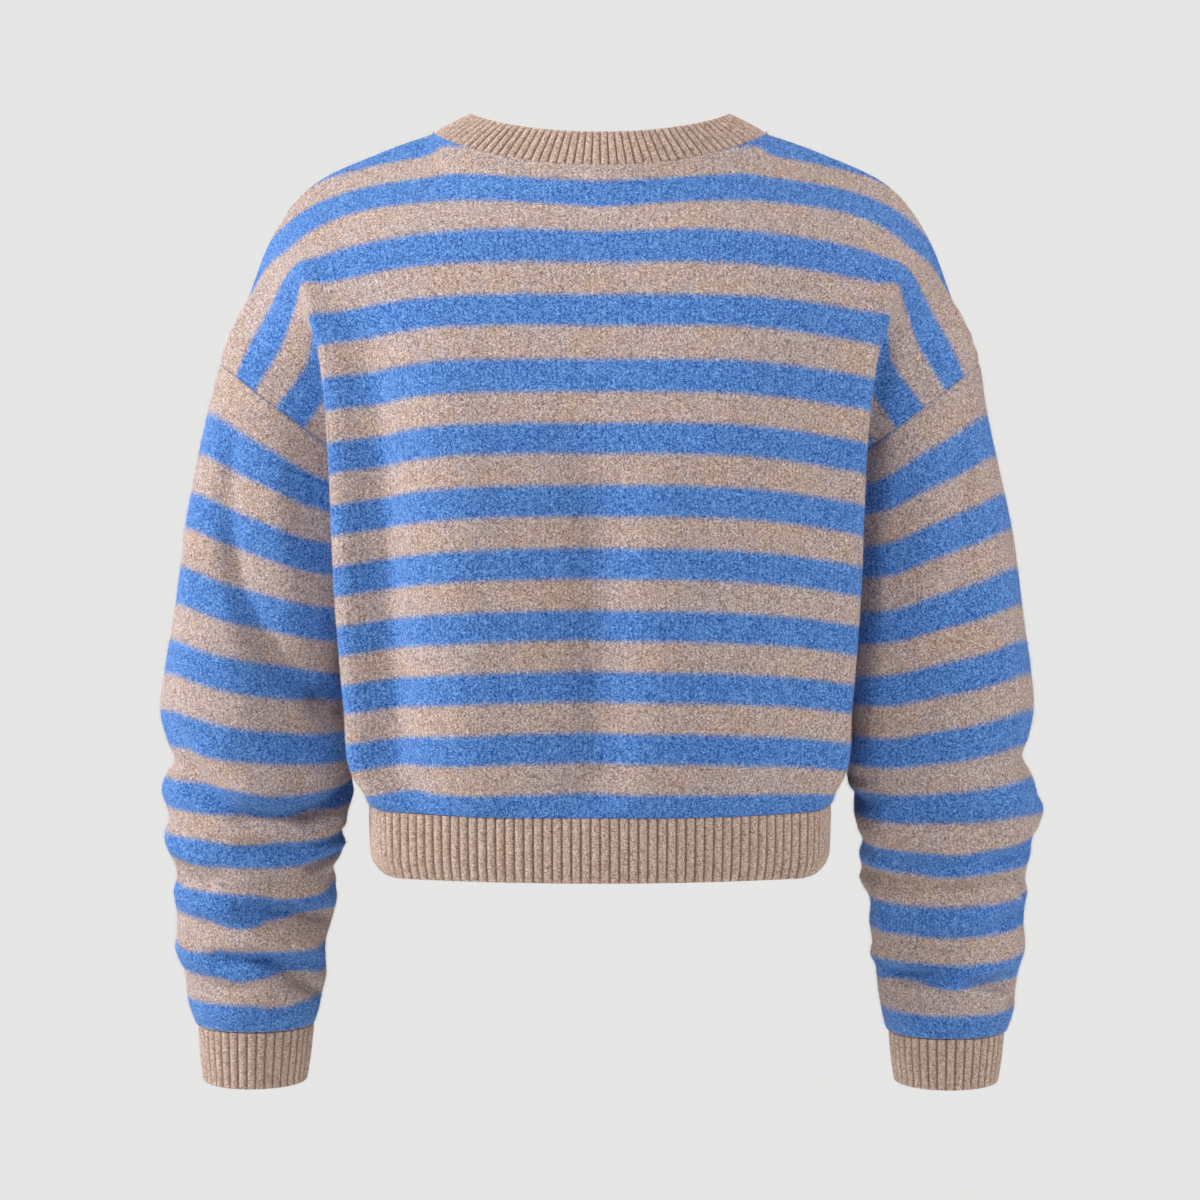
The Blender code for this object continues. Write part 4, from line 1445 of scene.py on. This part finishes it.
YARN_GRAIN = Grain(960, 1.0, 0.6, 1.6, 0.38, 0.62, 0.56)
YARN_FIBRE = Grain(1900, 1.0, 0.5, 2.6, 0.36, 0.64, 0.28)
YARN_CLUMP = Grain(210, 2.0, 0.55, 0.6, 0.28, 0.72, 0.07)
FINE_PATCH = Grain(120, 2.0, 0.6, weight=0.55)
BROAD_PATCH = Grain(21, 2.0, weight=0.55)
EDGE_FUZZ = Grain(760, 2.0, 0.6, 1.2)
EDGE_WAVER = Grain(260, 1.0, weight=1 / 3)
RIB_FUZZ = Grain(640, 2.0, 0.6, 0.9)


class Channel:
    """A number that varies over a surface, as the output of a shader node."""

    def __init__(self, finish: Finish, socket: bpy.types.NodeSocket) -> None:
        """Wraps a socket of a finish."""
        self.finish = finish
        self.socket = socket

    def __add__(self, other: Value) -> Channel:
        """Sum."""
        return self.finish.maths("ADD", self, other)

    def __sub__(self, other: Value) -> Channel:
        """Difference."""
        return self.finish.maths("SUBTRACT", self, other)

    def __rsub__(self, other: Value) -> Channel:
        """Difference from a plain number."""
        return self.finish.maths("SUBTRACT", other, self)

    def __mul__(self, other: Value) -> Channel:
        """Product."""
        return self.finish.maths("MULTIPLY", self, other)

    __radd__ = __add__
    __rmul__ = __mul__

    def wave(self) -> Channel:
        """Sine."""
        return self.finish.maths("SINE", self)

    def fraction(self) -> Channel:
        """What is left above the whole number."""
        return self.finish.maths("FRACT", self)

    def size(self) -> Channel:
        """Absolute value."""
        return self.finish.maths("ABSOLUTE", self)

    def step(self, low: float, high: float) -> Channel:
        """Smooth step from 0 at low to 1 at high."""
        settings = {"interpolation_type": "SMOOTHSTEP"}
        node = self.finish.node("ShaderNodeMapRange", settings, {0: self, 1: low, 2: high})
        return Channel(self.finish, node.outputs[0])


class Finish:
    """A procedural material, with the few node calls that the sweater's finishes need."""

    def __init__(self, name: str) -> None:
        """Starts an empty material."""
        self.material = bpy.data.materials.new(name)
        self.material.use_nodes = True
        self.tree = self.material.node_tree
        self.tree.nodes.clear()

    def node(self, kind: str, settings: dict[str, Any], sockets: dict[Any, Any]) -> bpy.types.Node:
        """Adds a node.

        Args:
            kind: The node's type.
            settings: Its settings, made first.
            sockets: Values or links of its inputs, by number or name.

        Returns:
            The node.
        """
        made = self.tree.nodes.new(kind)
        for name, value in settings.items():
            setattr(made, name, value)
        for name, value in sockets.items():
            if isinstance(value, Channel):
                self.tree.links.new(value.socket, made.inputs[name])
            elif isinstance(value, bpy.types.NodeSocket):
                self.tree.links.new(value, made.inputs[name])
            elif isinstance(value, tuple) and made.inputs[name].type == "RGBA":
                made.inputs[name].default_value = (*value, 1.0)
            else:
                made.inputs[name].default_value = value
        return made

    def maths(self, operation: str, *values: Value) -> Channel:
        """Adds a Math node and gives its result."""
        node = self.node("ShaderNodeMath", {"operation": operation}, dict(enumerate(values)))
        return Channel(self, node.outputs[0])

    def noise(self, grain: Grain) -> Channel:
        """Noise on Object coordinates, from 0 to 1."""
        sockets = {
            "Vector": self.node("ShaderNodeTexCoord", {}, {}).outputs["Object"],
            "Scale": grain.scale,
            "Detail": grain.detail,
            "Roughness": grain.rough,
            "Distortion": grain.twist,
        }
        return Channel(self, self.node("ShaderNodeTexNoise", {}, sockets).outputs[0])

    def pattern(self, grain: Grain) -> Channel:
        """Noise in two tones, from 0 to the grain's weight."""
        return self.noise(grain).step(grain.low, grain.high) * grain.weight

    def knit(self) -> tuple[Channel, Channel]:
        """The wale and the stripe of a place."""
        place = self.node("ShaderNodeUVMap", {"uv_map": KNIT_MAP}, {}).outputs[0]
        split = self.node("ShaderNodeSeparateXYZ", {}, {0: place})
        return Channel(self, split.outputs[0]), Channel(self, split.outputs[1])

    def mix(self, share: Value, first: Any, second: Any) -> bpy.types.NodeSocket:
        """Mixes two colours."""
        settings = {"data_type": "RGBA"}
        return self.node("ShaderNodeMix", settings, {0: share, 6: first, 7: second}).outputs[2]

    def cloth(self, colour: Any, height: Channel, wool: Brushed) -> None:
        """Ends the finish in a soft cloth shader.

        Args:
            colour: The base colour.
            height: Height of the relief from 0 to 1.
            wool: The knit, with how deep and strong its relief is and how much it shines.
        """
        relief = {"Strength": wool.strength, "Distance": wool.relief, "Height": height}
        sockets = {
            "Base Color": colour,
            "Roughness": wool.roughness,
            "Specular IOR Level": wool.shine,
            "Sheen Weight": wool.sheen,
            "Sheen Roughness": wool.sheen_roughness,
            "Sheen Tint": wool.sheen_tint,
            "Normal": self.node("ShaderNodeBump", {}, relief).outputs[0],
        }
        shader = self.node("ShaderNodeBsdfPrincipled", {}, sockets)
        self.node("ShaderNodeOutputMaterial", {}, {0: shader.outputs[0]})


@dataclass(frozen=True)
class Yarn:
    """A yarn's colours: between its fibres, on them, and at their tips; the dark and pale ones are
    partly the yarn's own flecks and partly painted shade and painted highlight.
    """

    deep: Colour
    main: Colour
    pale: Colour

    def shade(self, finish: Finish, dark: Channel, light: Channel) -> bpy.types.NodeSocket:
        """Mixes the three colours by how dark and how light a place is."""
        return finish.mix(light, finish.mix(dark, self.main, self.deep), self.pale)


# Each yarn's deep colour is partly painted shade between the fibres, and its pale colour partly a
# painted highlight on them
BLUE = Yarn(linear(6, 48, 126), linear(48, 113, 202), linear(150, 201, 252))
TAUPE = Yarn(linear(102, 80, 75), linear(175, 153, 148), linear(250, 233, 227))
RUST = Yarn(linear(108, 78, 61), linear(185, 153, 135), linear(253, 229, 211))
RIBBED = Yarn(linear(134, 105, 89), linear(194, 166, 151), linear(242, 219, 203))
# Painted shade: the dark colour that the ribs' grooves are mixed towards
GROOVE_SHADE = linear(104, 76, 62)


@dataclass(frozen=True)
class Brushed:
    """Brushed wool: the tones and the relief that both knits of the sweater share.

    Relief is the depth of the knit in metres.  Lift pales the colours all over, a painted highlight
    on the nap's fibres.
    """

    name: str
    relief: float = 0.0012
    strength: float = 0.5
    sheen: float = 0.12
    sheen_roughness: float = 0.45
    sheen_tint: Colour = (1.0, 0.97, 0.95)
    roughness: float = 0.94
    shine: float = 0.2
    highlight_lift: float = 0.0
    stitch: float = 0.09
    dark_tones: tuple[float, float] = (0.1, 0.5)
    light_tones: tuple[float, float] = (0.5, 0.9)
    rusty: tuple[float, float] = (0.46, 0.68)
    rust: float = 0.8

    def tone(self, finish: Finish, stitch: Channel) -> Channel:
        """How light a place is, from 0 down between the fibres to 1 at their tips; it is also the
        relief's height, so it is partly the yarn's random flecks and partly painted shade and
        painted highlight.
        """
        grain, fibre, clump = map(finish.pattern, (YARN_GRAIN, YARN_FIBRE, YARN_CLUMP))
        return grain + fibre + clump + stitch * self.stitch

    def patches(self, finish: Finish) -> Channel:
        """Where the taupe yarn is rustier."""
        fine, broad = (finish.noise(grain) * grain.weight for grain in (FINE_PATCH, BROAD_PATCH))
        return (fine + broad).step(*self.rusty) * self.rust

    def shades(self, finish: Finish, tone: Channel, *yarns: Yarn) -> list[bpy.types.NodeSocket]:
        """Colours of yarns at the tone of each place."""
        # Dark where the relief is low and pale where it is high: painted shade and painted
        # highlight over the yarn's random flecks
        dark, light = 1 - tone.step(*self.dark_tones), tone.step(*self.light_tones) + self.highlight_lift
        return [yarn.shade(finish, dark, light) for yarn in yarns]


@dataclass(frozen=True)
class StripedKnit(Brushed):
    """Brushed plain knit in bands of two yarns, whose edges the brushing has blurred."""

    name: str = "striped_knit_brushed"
    blur: float = 0.24
    wander: float = 0.24
    stagger: float = 0.35
    slant: float = 1.1
    column_share: float = 0.6

    def blue_share(self, finish: Finish, wale: Channel, stripe: Channel) -> Channel:
        """Share of the blue yarn, 1 inside an odd band."""
        stitch = ((wale.fraction() - 0.5).size() - 0.25) * (self.stagger / ROWS_PER_BAND)
        blurred = stripe + stitch
        for grain in (EDGE_FUZZ, EDGE_WAVER):
            blurred = blurred + (finish.noise(grain) - 0.5) * (self.wander * grain.weight)
        edge = self.blur * math.pi / 2
        return (blurred * math.pi).wave().step(edge, -edge)

    def build(self) -> bpy.types.Material:
        """Builds the material."""
        finish = Finish(self.name)
        wale, stripe = finish.knit()
        column = (wale * FULL_TURN).wave() * 0.5 + 0.5
        leg = (wale.fraction() - 0.5).size() * self.slant
        row = ((stripe * ROWS_PER_BAND + leg) * FULL_TURN).wave() * 0.5 + 0.5
        stitch = column * self.column_share + row * (1 - self.column_share)
        tone = self.tone(finish, stitch)
        taupe, rust, blue = self.shades(finish, tone, TAUPE, RUST, BLUE)
        mottled = finish.mix(self.patches(finish), taupe, rust)
        finish.cloth(finish.mix(self.blue_share(finish, wale, stripe), mottled, blue), tone, self)
        return finish.material


@dataclass(frozen=True)
class TaupeRib(Brushed):
    """Brushed rib knit in the taupe yarn, with painted shade darkening it down its grooves."""

    name: str = "taupe_rib_brushed"
    relief: float = 0.001
    fuzz: float = 0.12
    # Where the painted shade in a rib's groove begins and is full, and how strong it is
    groove: tuple[float, float] = (0.31, 0.49)
    groove_shade_share: float = 0.7
    rust_share: float = 0.5
    slant: float = 0.9

    def build(self) -> bpy.types.Material:
        """Builds the material."""
        finish = Finish(self.name)
        rib, row = finish.knit()
        fuzz = (finish.noise(RIB_FUZZ) - 0.5) * self.fuzz
        groove = ((rib.fraction() - 0.5).size() + fuzz).step(*self.groove)
        leg = ((rib * 2).fraction() - 0.5).size() * self.slant
        tone = self.tone(finish, ((row + leg) * FULL_TURN).wave() * 0.5 + 0.5)
        plain, rust = self.shades(finish, tone, RIBBED, RUST)
        mottled = finish.mix(self.patches(finish) * self.rust_share, plain, rust)
        # The grooves are mixed towards the dark groove colour: painted shade
        finish.cloth(finish.mix(groove * self.groove_shade_share, mottled, GROOVE_SHADE), tone, self)
        return finish.material


@dataclass(frozen=True)
class Lamp:
    """A large soft square lamp: where it stands and what it points at, in metres."""

    name: str
    place: Place
    aim: Place
    size: float
    watts: float

    def build(self) -> None:
        """Adds the lamp."""
        bpy.ops.object.light_add(type="AREA", location=self.place)
        lamp = bpy.context.object
        lamp.name = self.name
        lamp.data.shape = "SQUARE"
        lamp.data.size = self.size
        lamp.data.energy = self.watts
        back = lamp.location - type(lamp.location)(self.aim)
        lamp.rotation_euler = back.to_track_quat("Z", "Y").to_euler()


@dataclass
class Studio:
    """Soft studio light, a pale floor and the camera, square on to the sweater's back."""

    distance: float = 2.6
    eye_height: float = -0.3176
    lens: float = 114.7
    backdrop: Colour = linear(229.6, 229.6, 228.7)
    floor_z: float = -0.9
    floor_fade: tuple[float, float] = (0.45, 1.05)
    floor_radius: float = 6.0
    floor_colour: Colour = (0.80, 0.80, 0.797)
    air: Colour = (0.93, 0.96, 1.0)
    air_strength: float = 0.13
    lamps: tuple[Lamp, ...] = (
        Lamp("key", (0.6, 1.8, 1.2), (0, 0, -0.38), 0.6, 24),
        Lamp("side", (2.5, 0.45, 0.4), (0, 0, -0.36), 0.6, 62),
        Lamp("fill", (-2.25, 0.7, 0.5), (0, 0, -0.32), 0.9, 30),
        Lamp("top", (0.3, 0.1, 2.2), (0, 0, -0.2), 0.9, 14),
        Lamp("front", (0.6, -2.4, 1.0), (0, 0, -0.3), 1.8, 24),
    )

    def camera(self) -> None:
        """Adds the camera."""
        place, turn = (0, self.distance, self.eye_height), (math.pi / 2, 0, math.pi)
        bpy.ops.object.camera_add(location=place, rotation=turn)
        camera = bpy.context.object
        camera.data.lens = self.lens
        camera.data.sensor_width = 36.0
        bpy.context.scene.camera = camera

    def surroundings(self) -> None:
        """Lights the scene evenly, and shows the backdrop's colour behind it."""
        world = bpy.data.worlds.new("studio")
        bpy.context.scene.world = world
        world.use_nodes = True
        tree = world.node_tree
        tree.nodes.clear()
        seen = tree.nodes.new("ShaderNodeBackground")
        seen.inputs[0].default_value = (*self.backdrop, 1)
        lit = tree.nodes.new("ShaderNodeBackground")
        lit.inputs[0].default_value = (*self.air, 1)
        lit.inputs[1].default_value = self.air_strength
        path = tree.nodes.new("ShaderNodeLightPath")
        mix = tree.nodes.new("ShaderNodeMixShader")
        out = tree.nodes.new("ShaderNodeOutputWorld")
        tree.links.new(path.outputs["Is Camera Ray"], mix.inputs[0])
        tree.links.new(lit.outputs[0], mix.inputs[1])
        tree.links.new(seen.outputs[0], mix.inputs[2])
        tree.links.new(mix.outputs[0], out.inputs[0])

    def floor(self) -> None:
        """Adds the pale floor, which fades into the backdrop away from the sweater."""
        bpy.ops.mesh.primitive_circle_add(
            vertices=96, radius=self.floor_radius, fill_type="NGON", location=(0, 0, 0)
        )
        floor = bpy.context.object
        floor.name = "studio_floor"
        floor.data.transform(type(floor.matrix_world).Translation((0, 0, self.floor_z)))
        finish = Finish("pale_floor")
        place = finish.node("ShaderNodeTexCoord", {}, {}).outputs["Object"]
        level, kind = {0: place, 1: (1, 1, 0)}, "ShaderNodeVectorMath"
        flat = finish.node(kind, {"operation": "MULTIPLY"}, level)
        reach = finish.node(kind, {"operation": "LENGTH"}, {0: flat.outputs[0]})
        far = Channel(finish, reach.outputs["Value"]).step(*self.floor_fade)
        near = finish.node("ShaderNodeBsdfDiffuse", {}, {0: self.floor_colour})
        glow = finish.node("ShaderNodeEmission", {}, {0: self.backdrop})
        sockets = {0: far, 1: near.outputs[0], 2: glow.outputs[0]}
        mixed = finish.node("ShaderNodeMixShader", {}, sockets)
        finish.node("ShaderNodeOutputMaterial", {}, {0: mixed.outputs[0]})
        floor.data.materials.append(finish.material)

    def build(self) -> None:
        """Builds the studio."""
        bpy.context.scene.view_settings.view_transform = "Standard"
        bpy.context.scene.view_settings.look = "None"
        self.camera()
        self.floor()
        self.surroundings()
        for lamp in self.lamps:
            lamp.build()


Finishes = tuple[bpy.types.Material, bpy.types.Material]


@dataclass
class Sweater:
    """The whole garment: cloth pieces, their nap and their finishes."""

    back: BodyPanel
    front: BodyPanel
    sleeves: tuple[Sleeve, ...]
    neck: Neckband
    hems: tuple[HemRib, ...]
    cuffs: tuple[Cuff, ...]

    def dress(self, piece: bpy.types.Object, material: bpy.types.Material) -> None:
        """Gives a piece its finish and lets it ride with the garment."""
        piece.data.materials.append(material)
        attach(piece, BODY)

    def add(self, part: Any, node: str, finishes: Finishes, slot: str, nap: Nap) -> None:
        """Builds one cloth piece with its nap.

        Args:
            part: The piece's class.
            node: The solid that it stands for.
            finishes: The finish of the cloth and that of its nap.
            slot: Not used.
            nap: Its nap.
        """
        piece, grid = part.build()
        self.dress(piece, finishes[0])
        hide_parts(node)
        fibres = nap.grow(grid)
        self.dress(fibres, finishes[1])
        sheet, fuzz = (
            sum(len(face.vertices) - 2 for face in made.data.polygons) for made in (piece, fibres)
        )
        LOG.info("%s: %.4f m2 outside, %d and %d triangles", piece.name, grid.area(), sheet, fuzz)

    def build(self) -> None:
        """Builds every piece."""
        # The nap's finishes are paler all over: a painted highlight on the fibres
        knit = StripedKnit().build(), StripedKnit("striped_nap", strength=0.0, highlight_lift=0.4).build()
        rib = TaupeRib().build(), TaupeRib("taupe_nap", strength=0.0, highlight_lift=0.35).build()
        panels = (self.back, "back_panel"), (self.front, "front_panel")
        sleeves = zip(self.sleeves, ("sleeve_left", "sleeve_right"))
        necks = ((self.neck, "neck_rib"),)
        hems = zip(self.hems, ("hem_rib_back", "hem_rib_front"))
        cuffs = zip(self.cuffs, ("cuff_rib_left", "cuff_rib_right"))
        for parts, fibres, seed in ((panels, PANEL_FIBRES, 11), (sleeves, SLEEVE_FIBRES, 21)):
            for turn, (part, node) in enumerate(parts):
                nap = Nap(f"{part.name}_nap", fibres, seed + turn)
                self.add(part, node, knit, "striped_knit", nap)
        ribs = (necks, NECK_FIBRES, 31), (hems, HEM_FIBRES, 41), (cuffs, CUFF_FIBRES, 51)
        for parts, fibres, seed in ribs:
            for turn, (part, node) in enumerate(parts):
                nap = Nap(f"{part.name}_nap", fibres, seed + turn, *RIB_FIBRE)
                self.add(part, node, rib, "taupe_rib", nap)


def write_sizes() -> None:
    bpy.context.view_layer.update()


def main() -> None:
    """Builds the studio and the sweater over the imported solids."""
    logging.basicConfig(level=logging.INFO, format="%(name)s: %(message)s")
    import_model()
    Studio().build()
    panel = {"flat": PANEL_FLAT, "flat_area": PANEL_AREA}
    back = BodyPanel(
        "sweater_back",
        side=1,
        courses=BACK_COURSES,
        neck_course=28.0,
        neck_power=0.6,
        drapes=BACK_DRAPES,
        **panel,
    )
    front = BodyPanel(
        "sweater_front",
        side=-1,
        courses=FRONT_COURSES,
        neck_course=92.0,
        neck_power=0.85,
        drapes=FRONT_DRAPES,
        **panel,
    )
    cut = SLEEVE_FLAT, SLEEVE_AREA
    sleeves = (
        Sleeve("sweater_sleeve_left", 1, LEFT_SWAYS, LEFT_FOLDS, LEFT_LAGS, *cut),
        Sleeve("sweater_sleeve_right", -1, RIGHT_SWAYS, RIGHT_FOLDS, RIGHT_LAGS, *cut),
    )
    hems = (
        HemRib("sweater_hem_back", HEM_RIBS, HEM_FLAT, panel=back),
        HemRib("sweater_hem_front", HEM_RIBS, HEM_FLAT, panel=front),
    )
    cuffs = (
        Cuff("sweater_cuff_left", CUFF_RIBS, CUFF_FLAT, mirror=1, rings=LEFT_CUFF),
        Cuff("sweater_cuff_right", CUFF_RIBS, CUFF_FLAT, mirror=-1, rings=RIGHT_CUFF),
    )
    neck = Neckband("sweater_neckband", NECK_RIBS, NECK_FLAT)
    Sweater(back, front, sleeves, neck, hems, cuffs).build()
    write_sizes()


if __name__ == "__main__":
    main()
